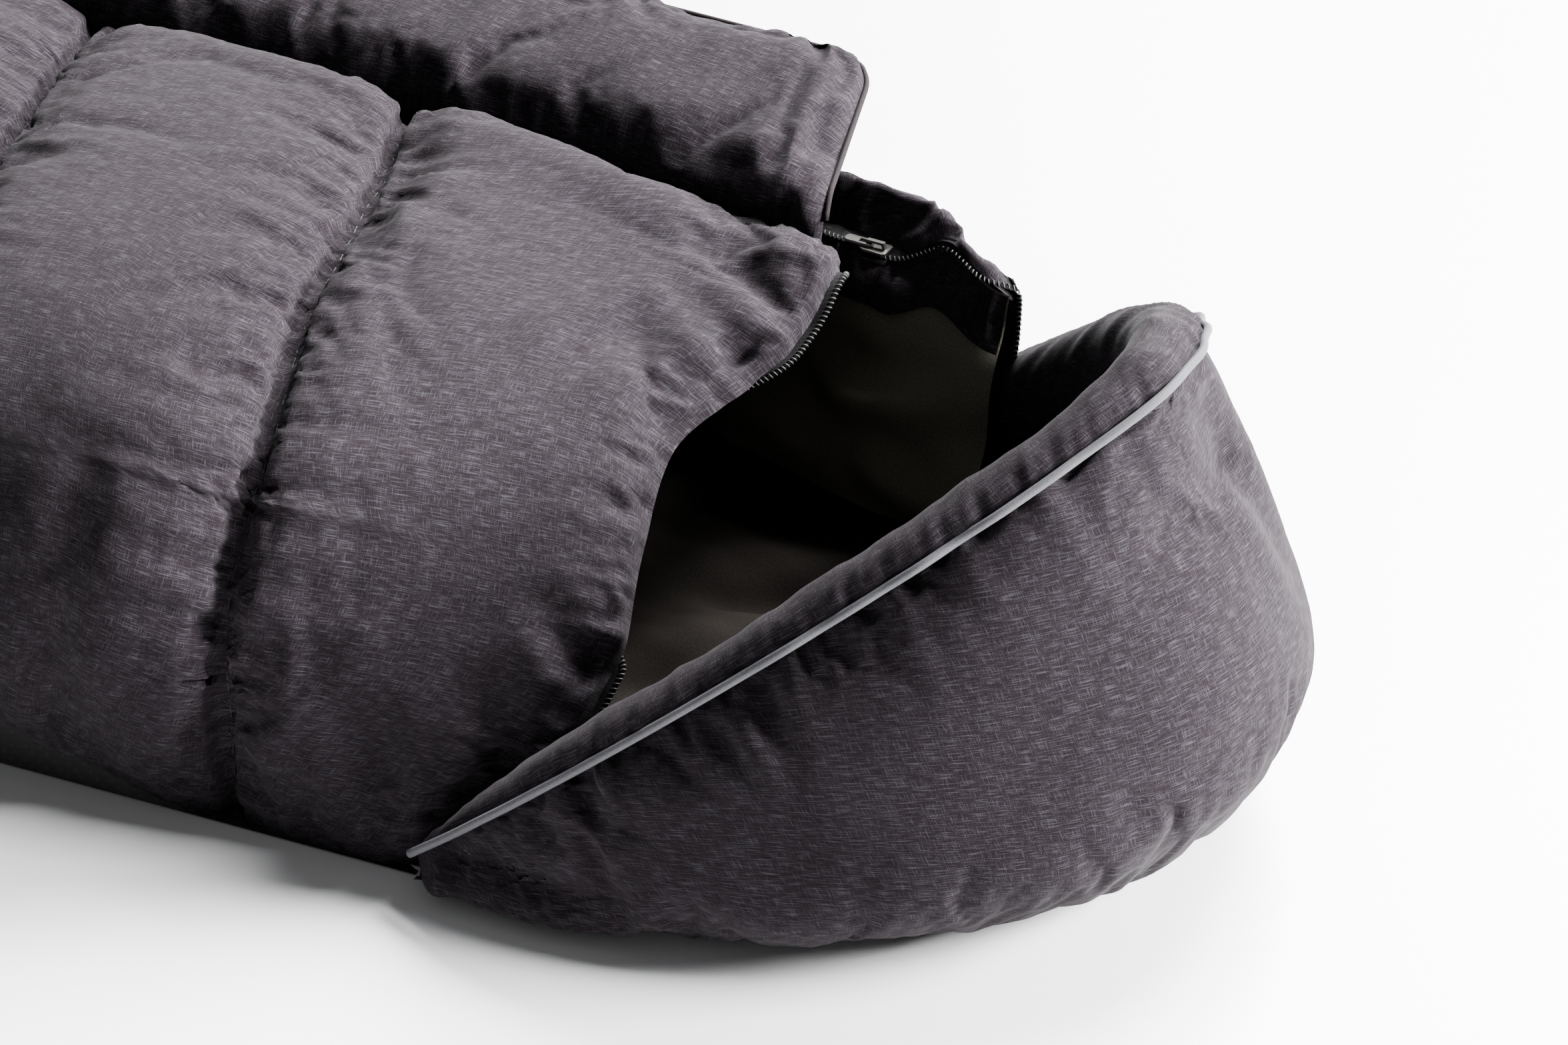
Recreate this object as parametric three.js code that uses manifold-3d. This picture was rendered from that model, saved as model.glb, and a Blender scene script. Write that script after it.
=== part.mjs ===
// A padded, hooded bag that zips round a small child: a flat back with low side walls, a quilted
// front panel that swings open about the near side, a padded wind flap over the zip, and a deep
// hood with a piped, elasticated rim. Millimetres, +Z up. The origin lies on the underside, on the
// centre line, below the neck; +X runs towards the hood and -Y is the near, hinged side.
import * as THREE from "three";
import { mergeVertices } from "three/addons/utils/BufferGeometryUtils.js";
import Module from "manifold-3d";

const wasm = await Module();
wasm.setup();

// ---- Driving dimensions ----
const NECK_X = -84; // the line where the hood starts
const FOOT_X = -620; // where the straight sides end and the rounded foot end starts
const FOOT_DEPTH = 115; // how far the foot end reaches past that
const FOOT_DOME = 110; // the cover rises to full height over this length from the foot
const NECK_HALF_WIDTH = 164;
const FOOT_HALF_WIDTH = 204;
const CROWN_HEIGHT = 180; // the front panel's highest line above the floor
const HINGE_HEIGHT = 88; // where the front panel folds on the near wall
const ZIP_HEIGHT = 151; // the side zip above the floor
const FOOT_RIM_HEIGHT = 100; // the zip above the floor round the foot end
const HOOD_LENGTH = 249; // neck line to the rim's tip
const HOOD_HEIGHT = 217; // the rim's tip above the floor
const RIM_START_HEIGHT = 18; // the rim above the floor where it leaves the neck line
const HOOD_NEAR_WIDTH = 170; // half width of the rim on the near side
const HOOD_FAR_WIDTH = 180;
const NEAR_ROUNDNESS = 1.5; // of the rim in plan; 2 would be an ellipse
const FAR_ROUNDNESS = 2;

// ---- Cloth and padding ----
const FABRIC = 1.2; // outer cloth and lining, with its backing
const LAYER_GAP = 0.5; // between layers and between pieces that touch
const SEAM_THICKNESS = 6; // a padded piece where it is sewn
const WALL_PUFF = 20; // padding at the middle of a side wall
const PANEL_PUFF = 24;
const HOOD_PUFF = 22;
const FLAP_PUFF = 20;
const UNDERSIDE = 2; // non-slip cloth under the bag
const MAT = 18; // back padding
const MAT_LINING = 3;
const MAT_INSET = 34; // the mat stands clear of the walls by this much
const FOOT_JOIN = 1.5; // between the side walls' ends and the foot wall
const MAT_TOP = UNDERSIDE + MAT + MAT_LINING + 2 * LAYER_GAP;

// ---- Zip ----
const TAPE_WIDTH = 6;
const TAPE_THICKNESS = 0.7;
const COIL_WIDTH = 2.3;
const COIL_THICKNESS = 2;
const COIL_SPLIT = 0.9; // from the zip's centre line to each coil
const TAPE_GAP = 2.2; // from the tape to the cloth's cut edge
const ZIP_HALF = COIL_SPLIT + COIL_WIDTH + LAYER_GAP + TAPE_WIDTH + TAPE_GAP;
const ZIP_INSET = SEAM_THICKNESS + ZIP_HALF; // zip centre line, in from the wall's outside
const SLIDER_LENGTH = 13;
const SLIDER_X = -26; // the slider's middle; the zip runs straight from the foot end to here
const ZIP_START = -0.87; // plan angle round the foot end where the zip starts, in radians

// ---- Hood trim ----
const ROLL_RADIUS = 8; // padded roll along the hood's rim
const ROLL_BORE = 3;
const ELASTIC_RADIUS = 2.2;
const PIPING_RADIUS = 2.4;

// ---- Wind flap ----
const FLAP_FOOT_X = -560;
const FLAP_NECK_X = -46;
const FLAP_WIDTH = 95;
const FLAP_RISE = 17; // degrees above level, at rest
const FLAP_SEAM_INSET = ZIP_INSET + ZIP_HALF + 8; // the flap's seam, in from the wall
const FLAP_SEAM_HEIGHT = 173; // of the flap's upper face
const FLAP_END_SLANT = 18; // the ends lean in this far from seam to free edge
const FLAP_CORNER = 20;

// ---- Ear: the far wall runs on past the neck as a loose ear ----
const EAR_START_X = -17;
const EAR_END_X = NECK_X + 0.478 * HOOD_LENGTH; // level with the middle of the hood
const EAR_HEIGHT = 144;
const EAR_LEAN = 22; // the ear's top leans in this far at its end

const { lerp, clamp, smoothstep, degToRad } = THREE.MathUtils;
const V = (x, y, z) => new THREE.Vector3(x, y, z);

// ---- Plan and cross-sections ----
const halfWidth = (x) =>
  lerp(NECK_HALF_WIDTH, FOOT_HALF_WIDTH, clamp((SLIDER_X - x) / (SLIDER_X - FOOT_X), 0, 1));

const power = (value, exponent) => Math.sign(value) * Math.abs(value) ** exponent;

// The rounded foot end in plan, from the near side (-90 degrees) to the far side, moved in by inset.
function footOutline(angle, inset) {
  const roundness = 2 / 3;
  return V(
    FOOT_X - FOOT_JOIN - (FOOT_DEPTH - inset) * power(Math.cos(angle), roundness),
    (FOOT_HALF_WIDTH - inset) * power(Math.sin(angle), roundness),
    0,
  );
}

// Where the cover's foot edge lies for a point at y, the same curve solved for x.
function footEdgeX(y, inset) {
  const share = clamp(Math.abs(y) / (FOOT_HALF_WIDTH - inset), 0, 1);
  return FOOT_X - (FOOT_DEPTH - inset) * (1 - share ** 3) ** (1 / 3);
}

const through = (points, t) =>
  new THREE.CatmullRomCurve3(points, false, "centripetal").getPoint(clamp(t, 0, 1));

// The zip's height round the foot end: low in the middle, up to the side zip on the far side and
// down to the fold on the near side. share runs from -1 (near) to 1 (far).
function footRim(share) {
  const side = share > 0 ? ZIP_HEIGHT : HINGE_HEIGHT - 2;
  return lerp(FOOT_RIM_HEIGHT, side, smoothstep(Math.abs(share), 0.55, 1));
}

const mixPoints = (a, b, k) => a.map((p, i) => p.clone().lerp(b[i], k));

// The near wall and the front panel are one run of cloth in section. Points 0 to 2 are the wall,
// points 2 to 8 the panel. Towards the neck the arch sags into a slope.
function coverSection(x) {
  const w = halfWidth(x);
  const edge = w - ZIP_INSET - ZIP_HALF;
  const arch = [
    V(x, -w + 4, UNDERSIDE + LAYER_GAP),
    V(x, -w - 3, HINGE_HEIGHT * 0.55),
    V(x, -w - 3, HINGE_HEIGHT),
    V(x, -w + 12, lerp(HINGE_HEIGHT, CROWN_HEIGHT, 0.44)),
    V(x, -w + 56, lerp(HINGE_HEIGHT, CROWN_HEIGHT, 0.81)),
    V(x, -w + 128, CROWN_HEIGHT - 2),
    V(x, edge - 118, CROWN_HEIGHT),
    V(x, edge - 36, lerp(ZIP_HEIGHT, CROWN_HEIGHT, 0.8)),
    V(x, edge, ZIP_HEIGHT),
  ];
  const slope = [
    V(x, -w + 4, 8),
    V(x, -w + 17, HINGE_HEIGHT * 0.42),
    V(x, -w + 38, HINGE_HEIGHT * 0.7),
    V(x, -w + 70, HINGE_HEIGHT),
    V(x, -w + 110, lerp(HINGE_HEIGHT, CROWN_HEIGHT, 0.29)),
    V(x, edge - 140, lerp(HINGE_HEIGHT, CROWN_HEIGHT, 0.52)),
    V(x, edge - 84, lerp(HINGE_HEIGHT, CROWN_HEIGHT, 0.64)),
    V(x, edge - 30, lerp(HINGE_HEIGHT, CROWN_HEIGHT, 0.78)),
    V(x, edge, ZIP_HEIGHT),
  ];
  return mixPoints(arch, slope, smoothstep(x, NECK_X - 150, NECK_X + 30));
}
const PANEL_START = 2 / 8; // share of the section where the wall ends and the panel starts

// How far the head edge of that cloth stands past the neck line, from the near floor to the far side.
const HEAD_EDGE = [-3, 18, 46, 60, 54, 44, 52, 54, 36];
const headEdgeX = (t) =>
  NECK_X + through(HEAD_EDGE.map((x, i) => V(x, i, 0)), t).x;

// The cloth from foot (u 0) to head (u 1) and from the near floor (t 0) to the side zip (t 1).
function coverPoint(u, t) {
  const acrossFoot = through(coverSection(FOOT_X), t);
  const edgeInset = ZIP_INSET + ZIP_HALF;
  const footX = footEdgeX(acrossFoot.y, edgeInset);
  const x = lerp(footX, headEdgeX(t), u);
  const p = through(coverSection(x), t);
  const fall = 1 - clamp((x - footX) / FOOT_DOME, 0, 1);
  const share = clamp(acrossFoot.y / (FOOT_HALF_WIDTH - edgeInset), -1, 1);
  const rim = Math.min(p.z, footRim(share));
  return V(x, p.y, lerp(rim, p.z, Math.sqrt(1 - fall ** 2)));
}

// ---- Building solids ----
function geometryOf(vertices, faces) {
  const geometry = new THREE.BufferGeometry();
  geometry.setAttribute("position", new THREE.Float32BufferAttribute(vertices, 3));
  geometry.setIndex(faces);
  geometry.computeVertexNormals();
  return geometry;
}

function normalAt(surface, u, v) {
  const step = 0.004;
  const du = surface(Math.min(u + step, 1), v).sub(surface(Math.max(u - step, 0), v));
  const dv = surface(u, Math.min(v + step, 1)).sub(surface(u, Math.max(v - step, 0)));
  return du.cross(dv).normalize();
}

// A padded sheet is thin at its seams and full in the middle.
function puffed(puff, along = 6, across = 6) {
  return (u, v) =>
    SEAM_THICKNESS +
    (puff - SEAM_THICKNESS) * (1 - (2 * u - 1) ** along) * (1 - (2 * v - 1) ** across);
}

// One layer of a sheet, between two depths below its outer surface. The surface's normal, du x dv,
// points out of the bag.
function layer(surface, rows, columns, top, bottom) {
  const vertices = [];
  const faces = [];
  const ring = columns + 1;
  const side = (rows + 1) * ring;
  for (const depth of [top, bottom])
    for (let i = 0; i <= rows; i++)
      for (let j = 0; j <= columns; j++) {
        const u = i / rows;
        const v = j / columns;
        const p = surface(u, v).addScaledVector(normalAt(surface, u, v), -depth(u, v));
        vertices.push(p.x, p.y, p.z);
      }
  const quad = (a, b, c, d) => faces.push(a, b, c, a, c, d);
  for (let i = 0; i < rows; i++)
    for (let j = 0; j < columns; j++) {
      const a = i * ring + j;
      quad(a, a + ring, a + ring + 1, a + 1);
      quad(side + a, side + a + 1, side + a + ring + 1, side + a + ring);
    }
  for (let j = 0; j < columns; j++) {
    const last = rows * ring + j;
    quad(j, j + 1, side + j + 1, side + j);
    quad(last, side + last, side + last + 1, last + 1);
  }
  for (let i = 0; i < rows; i++) {
    const a = i * ring;
    const b = a + columns;
    quad(a, side + a, side + a + ring, a + ring);
    quad(b, b + ring, side + b + ring, side + b);
  }
  return geometryOf(vertices, faces);
}

// The three layers of a padded piece: outer cloth, wadding and lining.
function paddedLayers(surface, rows, columns, thickness) {
  const down = (depth) => () => depth;
  const up = (height) => (u, v) => thickness(u, v) - height;
  return {
    outer: layer(surface, rows, columns, down(0), down(FABRIC)),
    wadding: layer(surface, rows, columns, down(FABRIC + LAYER_GAP), up(FABRIC + LAYER_GAP)),
    lining: layer(surface, rows, columns, up(FABRIC), up(0)),
  };
}

// A closed sweep of a section (points in the plane of side and up) along a path. frame(i) gives the
// two directions at point i.
function sweep(path, section, frame) {
  const vertices = [];
  const faces = [];
  const n = section.length;
  const first = frame(0);
  const backwards = first.side.clone().cross(first.up).dot(tangentAt(path, 0)) < 0;
  const ring = backwards ? [...section].reverse() : section;
  path.forEach((p, i) => {
    const { side, up } = frame(i);
    for (const [a, b] of ring) {
      const q = p.clone().addScaledVector(side, a).addScaledVector(up, b);
      vertices.push(q.x, q.y, q.z);
    }
  });
  for (let i = 0; i < path.length - 1; i++)
    for (let j = 0; j < n; j++) {
      const a = i * n + j;
      const b = i * n + ((j + 1) % n);
      faces.push(a, b, b + n, a, b + n, a + n);
    }
  const last = (path.length - 1) * n;
  for (let j = 1; j < n - 1; j++) {
    faces.push(0, j + 1, j);
    faces.push(last, last + j, last + j + 1);
  }
  return geometryOf(vertices, faces);
}

const tangentAt = (path, i) =>
  path[Math.min(i + 1, path.length - 1)].clone().sub(path[Math.max(i - 1, 0)]).normalize();

const circle = (radius, sides) =>
  Array.from({ length: sides }, (_, i) => {
    const angle = (2 * Math.PI * i) / sides;
    return [radius * Math.cos(angle), radius * Math.sin(angle)];
  });

const rectangle = (left, right, bottom, top) => [
  [left, bottom],
  [right, bottom],
  [right, top],
  [left, top],
];

function solidOf(geometry) {
  const bare = geometry.clone();
  bare.deleteAttribute("normal");
  bare.deleteAttribute("uv");
  const merged = mergeVertices(bare, 1e-4);
  return new wasm.Manifold(
    new wasm.Mesh({
      numProp: 3,
      vertProperties: merged.attributes.position.array,
      triVerts: new Uint32Array(merged.index.array),
    }),
  );
}

function geometryOfSolid(solid) {
  const mesh = solid.getMesh();
  return geometryOf(Array.from(mesh.vertProperties), Array.from(mesh.triVerts));
}

// ---- Materials ----
const cloth = (color, roughness = 0.9) =>
  new THREE.MeshStandardMaterial({ color, roughness, metalness: 0 });
const MATERIALS = {
  melange: cloth(0x55515a),
  lining: cloth(0x2f302b),
  underside: cloth(0x3a3738),
  wadding: cloth(0xe6e4de),
  piping: cloth(0xa9a9b0, 0.6),
  tape: cloth(0x1c1b1c),
  coil: cloth(0x232324, 0.4),
  elastic: cloth(0x2a2a2c),
  label: cloth(0xf2efe9),
  metal: new THREE.MeshStandardMaterial({ color: 0x3b3836, roughness: 0.35, metalness: 1 }),
};

const bag = new THREE.Group();
function add(name, geometry, material) {
  const mesh = new THREE.Mesh(geometry, MATERIALS[material]);
  mesh.name = name;
  bag.add(mesh);
  return mesh;
}

function addPadded(name, layers, lining = "lining") {
  add(name + "_outer", layers.outer, "melange");
  add(name + "_wadding", layers.wadding, "wadding");
  add(name + "_lining", layers.lining, lining);
}

// ---- Back: non-slip underside, padding and lining, for the body and for the hood ----
const OUTLINE_STEPS = 20;
function bodyOutline(inset, neckGap) {
  const points = [];
  const half = (x) => halfWidth(x) - inset;
  points.push(V(NECK_X - neckGap, -half(NECK_X), 0));
  for (let i = 0; i <= OUTLINE_STEPS; i++)
    points.push(footOutline(lerp(-Math.PI / 2, Math.PI / 2, i / OUTLINE_STEPS), inset));
  points.push(V(NECK_X - neckGap, half(NECK_X), 0));
  return points;
}

// The hood's outline in plan on one side of the centre line; side is -1 near and 1 far.
const hoodOutline = (angle, length, width, roundness) =>
  V(
    NECK_X + length * power(Math.cos(angle), 2 / roundness),
    width * power(Math.sin(angle), 2 / roundness),
    0,
  );

const HOOD_FLOOR_LENGTH = HOOD_LENGTH + 13; // where the hood's wall meets the floor
const HOOD_FLOOR_WIDTH = 153;
const HOOD_FLOOR_ROUNDNESS = 2.2;
function hoodFloorOutline(inset) {
  const points = [];
  for (let i = 0; i <= OUTLINE_STEPS; i++)
    points.push(
      hoodOutline(
        lerp(-Math.PI / 2, Math.PI / 2, i / OUTLINE_STEPS),
        HOOD_FLOOR_LENGTH - inset,
        HOOD_FLOOR_WIDTH - inset,
        HOOD_FLOOR_ROUNDNESS,
      ),
    );
  return points;
}

function slab(outline, low, high) {
  const shape = new THREE.Shape(outline.map((p) => new THREE.Vector2(p.x, p.y)));
  const geometry = new THREE.ExtrudeGeometry(shape, { depth: high - low, bevelEnabled: false });
  return geometry.translate(0, 0, low);
}

const MAT_LOW = UNDERSIDE + LAYER_GAP;
const MAT_HIGH = MAT_LOW + MAT;
const LINING_LOW = MAT_HIGH + LAYER_GAP;
add("underside_panel", slab(bodyOutline(6, LAYER_GAP), 0, UNDERSIDE), "underside");
add("back_wadding", slab(bodyOutline(MAT_INSET, 1), MAT_LOW, MAT_HIGH), "wadding");
add("back_lining", slab(bodyOutline(MAT_INSET, 1), LINING_LOW, MAT_TOP), "lining");
add("hood_underside", slab(hoodFloorOutline(0), 0, UNDERSIDE), "underside");
add("hood_mat_wadding", slab(hoodFloorOutline(MAT_INSET), MAT_LOW, MAT_HIGH), "wadding");
add("hood_mat_lining", slab(hoodFloorOutline(MAT_INSET), LINING_LOW, MAT_TOP), "melange");

// ---- Near wall and front panel ----
const splitGap = 0.0045; // share of the section left open on each side of the fold
const nearWall = (u, v) => coverPoint(u, lerp(0, PANEL_START - splitGap, v));
const frontPanel = (u, v) => coverPoint(u, lerp(PANEL_START + splitGap, 1, v));
addPadded("near_wall", paddedLayers(nearWall, 12, 3, puffed(WALL_PUFF)));
addPadded("front_panel", paddedLayers(frontPanel, 16, 9, puffed(PANEL_PUFF)));

// ---- Foot wall and far wall ----
// A wall's section: foot on the underside, a bulge, and the top edge at the zip.
function wallSection(base, outward, top) {
  const at = (out, z) => base.clone().addScaledVector(outward, out).setZ(z);
  return [
    at(-6, UNDERSIDE + LAYER_GAP),
    at(4, top * 0.3),
    at(6, top * 0.62),
    at(4, top * 0.86),
    at(0, top),
  ];
}

function footWall(u, v) {
  const angle = lerp(Math.PI / 2, -Math.PI / 2, u);
  const base = footOutline(angle, 0);
  const outward = base.clone().sub(footOutline(angle, 10)).normalize();
  return through(wallSection(base, outward, footRim(base.y / FOOT_HALF_WIDTH)), v);
}
addPadded("foot_wall", paddedLayers(footWall, 14, 3, puffed(WALL_PUFF)));

function farWall(u, v) {
  const x = lerp(EAR_END_X - 6 * (1 - v) ** 2, FOOT_X + LAYER_GAP, u);
  const w = halfWidth(x);
  const wall = wallSection(V(x, w, 0), V(0, 1, 0), ZIP_HEIGHT);
  const low = clamp((x - NECK_X) / (EAR_END_X - NECK_X), 0, 1);
  const high = smoothstep(x, EAR_START_X, EAR_END_X);
  const top = lerp(ZIP_HEIGHT, EAR_HEIGHT, high);
  const ear = [
    V(x, w - lerp(26, 48, low), MAT_TOP + 4),
    V(x, w - lerp(18, 44, low), top * 0.4),
    V(x, w - lerp(6, 34, low), top * 0.62),
    V(x, w + 4 - (EAR_LEAN + 6) * high, top * 0.85),
    V(x, w - EAR_LEAN * high, top),
  ];
  return through(mixPoints(wall, ear, smoothstep(x, NECK_X - 70, NECK_X)), v);
}
addPadded("far_wall", paddedLayers(farWall, 18, 5, puffed(WALL_PUFF)));

// ---- Hood ----
// The rim from the near side (u 0) over the tip to the far side (u 1).
function rimPoint(u) {
  const angle = lerp(-Math.PI / 2, Math.PI / 2, u);
  const near = angle < 0;
  const p = hoodOutline(
    angle,
    HOOD_LENGTH,
    near ? HOOD_NEAR_WIDTH : HOOD_FAR_WIDTH,
    near ? NEAR_ROUNDNESS : FAR_ROUNDNESS,
  );
  const along = (p.x - NECK_X) / HOOD_LENGTH;
  return p.setZ(lerp(RIM_START_HEIGHT, HOOD_HEIGHT, near ? along : along ** 1.3));
}

function hoodSection(u) {
  const angle = lerp(-Math.PI / 2, Math.PI / 2, u);
  const rim = rimPoint(u);
  const floor = hoodOutline(angle, HOOD_FLOOR_LENGTH, HOOD_FLOOR_WIDTH, HOOD_FLOOR_ROUNDNESS);
  const bulge = hoodOutline(angle, HOOD_LENGTH + 48, NECK_HALF_WIDTH + 14, HOOD_FLOOR_ROUNDNESS);
  const low = Math.max(10, lerp(0.24, 0.3, Math.cos(angle)) * rim.z);
  return [
    rim,
    rim.clone().lerp(bulge, 0.62).setZ(lerp(rim.z, low, 0.45)),
    bulge.clone().setZ(low),
    floor.clone().lerp(bulge, 0.6).setZ(low * 0.35),
    floor.clone().setZ(UNDERSIDE + LAYER_GAP),
  ];
}
const hoodWall = (u, v) => through(hoodSection(lerp(0.03, 0.97, u)), 1 - v);
addPadded("hood", paddedLayers(hoodWall, 22, 5, puffed(HOOD_PUFF, 2, 6)), "melange");

const RIM_STEPS = 28;
function rimFrame(u) {
  const along = rimPoint(u + 0.002).sub(rimPoint(u - 0.002)).normalize();
  const side = along.clone().cross(V(0, 0, 1)).normalize();
  return { side, up: side.clone().cross(along) };
}

// A round trim along the rim, its middle so far out from the rim and above it.
function rimTrim(out, above, radius, sides, first = 0.03) {
  const shares = Array.from({ length: RIM_STEPS + 1 }, (_, i) => lerp(first, 1 - first, i / RIM_STEPS));
  const path = shares.map((u) => {
    const { side, up } = rimFrame(u);
    return rimPoint(u).addScaledVector(side, out).addScaledVector(up, above);
  });
  return sweep(path, circle(radius, sides), (i) => rimFrame(shares[i]));
}

const ROLL_OUT = -4;
const ROLL_ABOVE = ROLL_RADIUS + 3;
const rollBody = solidOf(rimTrim(ROLL_OUT, ROLL_ABOVE, ROLL_RADIUS, 10));
const rollBore = solidOf(rimTrim(ROLL_OUT, ROLL_ABOVE, ROLL_BORE, 8, 0.029));
add("hood_rim_roll", geometryOfSolid(rollBody.subtract(rollBore)), "melange");
add("hood_elastic", rimTrim(ROLL_OUT, ROLL_ABOVE, ELASTIC_RADIUS, 8), "elastic");
add("hood_piping", rimTrim(PIPING_RADIUS + 3, PIPING_RADIUS, PIPING_RADIUS, 8), "piping");

// ---- Zip ----
// Each half follows the cloth edge it is sewn to: round the foot end, along the far side to the
// slider, and then apart, on the panel's head edge and on the ear. A run is a list of places on the
// zip's centre line, each with the direction from there to the cloth.
const COIL_OFFSET = COIL_SPLIT + COIL_WIDTH / 2;
const TAPE_OFFSET = COIL_SPLIT + COIL_WIDTH + LAYER_GAP + TAPE_WIDTH / 2;
const FOOT_STEPS = 14;
const SIDE_STEPS = 6;
const CORNER_STEPS = 4;

function beside(run, offset, width, thickness) {
  const path = run.map(({ centre, out }) => centre.clone().addScaledVector(out, offset));
  const section = rectangle(-width / 2, width / 2, -thickness / 2, thickness / 2);
  return sweep(path, section, (i) => ({ side: run[i].out, up: run[i].up }));
}

function addZipHalf(name, run) {
  add(name + "_tape", beside(run, TAPE_OFFSET, TAPE_WIDTH, TAPE_THICKNESS), "tape");
  add(name + "_coil", beside(run, COIL_OFFSET, COIL_WIDTH, COIL_THICKNESS), "coil");
}

// The stretch as far as the head end; towards is 1 for the wall's half and -1 for the panel's.
function sideRun(towards, endX) {
  const run = [];
  for (let i = 0; i <= FOOT_STEPS; i++) {
    const angle = lerp(ZIP_START, Math.PI / 2, i / FOOT_STEPS);
    const centre = footOutline(angle, ZIP_INSET);
    const out = footOutline(angle, 0).sub(centre).normalize().multiplyScalar(towards);
    const share = centre.y / (FOOT_HALF_WIDTH - ZIP_INSET);
    centre.setZ(footRim(share) - SEAM_THICKNESS / 2);
    run.push({ centre, out, up: V(0, 0, 1) });
  }
  for (let i = 1; i <= SIDE_STEPS; i++) {
    const x = lerp(FOOT_X, endX, i / SIDE_STEPS);
    const centre = V(x, halfWidth(x) - ZIP_INSET, ZIP_HEIGHT - SEAM_THICKNESS / 2);
    run.push({ centre, out: V(0, towards, 0), up: V(0, 0, 1) });
  }
  return run;
}

// A stretch along the cloth's head edge, between two places across it.
function headRun(from, to, steps) {
  return Array.from({ length: steps + 1 }, (_, i) => {
    const t = lerp(from, to, i / steps);
    const edge = coverPoint(1, t);
    const up = normalAt(coverPoint, 1, t);
    const out = coverPoint(0.98, t).sub(edge).normalize();
    const centre = edge.addScaledVector(up, -SEAM_THICKNESS / 2).addScaledVector(out, -ZIP_HALF);
    return { centre, out, up };
  });
}

// The turn from the side zip on to the panel's head edge.
function panelCorner() {
  const corner = coverPoint(1, 1).sub(V(0, 0, SEAM_THICKNESS / 2));
  return Array.from({ length: CORNER_STEPS }, (_, i) => {
    const angle = (Math.PI / 2) * (i / CORNER_STEPS);
    const out = V(-Math.sin(angle), -Math.cos(angle), 0);
    return { centre: corner.clone().addScaledVector(out, -ZIP_HALF), out, up: V(0, 0, 1) };
  });
}

// Along the ear's top, where the zip turns from lying flat to standing up, and down its end.
function earRun() {
  const run = [];
  const half = SEAM_THICKNESS / 2;
  for (let i = 0; i <= SIDE_STEPS; i++) {
    const x = lerp(SLIDER_X + SLIDER_LENGTH / 2 + 1, EAR_END_X, i / SIDE_STEPS);
    const turn = (Math.PI / 2) * smoothstep(x, EAR_START_X, EAR_END_X - ZIP_HALF);
    const share = (EAR_END_X - x) / (EAR_END_X - FOOT_X - LAYER_GAP);
    const out = V(0, Math.cos(turn), -Math.sin(turn));
    const edge = farWall(share, 1);
    edge.add(V(0, -half * (1 + Math.cos(turn)), -half * (1 - Math.sin(turn)) ** 2));
    const centre = edge.addScaledVector(out, -ZIP_HALF);
    run.push({ centre, out, up: V(0, Math.sin(turn), Math.cos(turn)) });
  }
  const corner = farWall(0, 1).sub(V(0, half, 0));
  for (let i = 1; i <= CORNER_STEPS; i++) {
    const angle = (Math.PI / 2) * (i / CORNER_STEPS);
    const out = V(-Math.sin(angle), 0, -Math.cos(angle));
    run.push({ centre: corner.clone().addScaledVector(out, -ZIP_HALF), out, up: V(0, 1, 0) });
  }
  for (let i = 1; i <= SIDE_STEPS; i++) {
    const v = lerp(1, 0.08, i / SIDE_STEPS);
    const up = normalAt(farWall, 0, v);
    const centre = farWall(0, v).addScaledVector(up, -half).add(V(ZIP_HALF, 0, 0));
    run.push({ centre, out: V(-1, 0, 0), up });
  }
  return run;
}

addZipHalf("wall_zip", [...sideRun(1, SLIDER_X), ...earRun()]);
addZipHalf("panel_zip", [
  ...sideRun(-1, headEdgeX(1) - 1),
  ...panelCorner(),
  ...headRun(0.99, PANEL_START + 0.01, 16),
]);
addZipHalf("near_zip", headRun(PANEL_START - 0.01, 0.12, 5));

// ---- Slider and pull ----
const PLATE_LOW = COIL_THICKNESS / 2 + 0.4; // inside face of each plate, from the coils' middle
const PLATE_HIGH = PLATE_LOW + 1.2;
const BRIDGE_HEIGHT = 3.2; // above the top plate
const BRIDGE_THICKNESS = 1.2;
const BRIDGE_WIDTH = 2;
const PULL_THICKNESS = 1.2;
const PULL_LENGTH = 13;
const PULL_WIDTH = 5;
const PULL_HOLE = 6;
const PULL_X = -2.2; // the pull's pivot, from the slider's middle
const PULL_Z = PLATE_HIGH + (BRIDGE_HEIGHT - BRIDGE_THICKNESS) / 2;

const polygon = (points) => new THREE.Shape(points.map(([x, y]) => new THREE.Vector2(x, y)));
const extruded = (shape, depth) => new THREE.ExtrudeGeometry(shape, { depth, bevelEnabled: false });

function sliderGeometry() {
  const half = SLIDER_LENGTH / 2;
  const plate = polygon([
    [-half, -3.4],
    [-half + 1.5, -4.2],
    [half - 1.5, -4.8],
    [half, -3.8],
    [half, 3.8],
    [half - 1.5, 4.8],
    [-half + 1.5, 4.2],
    [-half, 3.4],
  ]);
  const foot = PLATE_HIGH - 0.3;
  const top = PLATE_HIGH + BRIDGE_HEIGHT;
  const bridge = polygon([
    [-5, foot],
    [-4.2, top],
    [4.2, top],
    [5, foot],
    [5 - BRIDGE_THICKNESS, foot],
    [4.2 - BRIDGE_THICKNESS, top - BRIDGE_THICKNESS],
    [-4.2 + BRIDGE_THICKNESS, top - BRIDGE_THICKNESS],
    [-5 + BRIDGE_THICKNESS, foot],
  ].reverse());
  const thickness = PLATE_HIGH - PLATE_LOW;
  const post = new THREE.BoxGeometry(4, COIL_SPLIT, 2 * PLATE_LOW + thickness);
  return geometryOfSolid(
    [
      extruded(plate, thickness).translate(0, 0, -PLATE_HIGH),
      post.translate(half - 3, 0, 0),
      extruded(bridge, BRIDGE_WIDTH)
        .rotateX(Math.PI / 2)
        .translate(0, BRIDGE_WIDTH / 2, 0),
    ]
      .map(solidOf)
      .reduce(
        (whole, piece) => whole.add(piece),
        solidOf(extruded(plate, thickness).translate(0, 0, PLATE_LOW)),
      ),
  );
}

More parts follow.
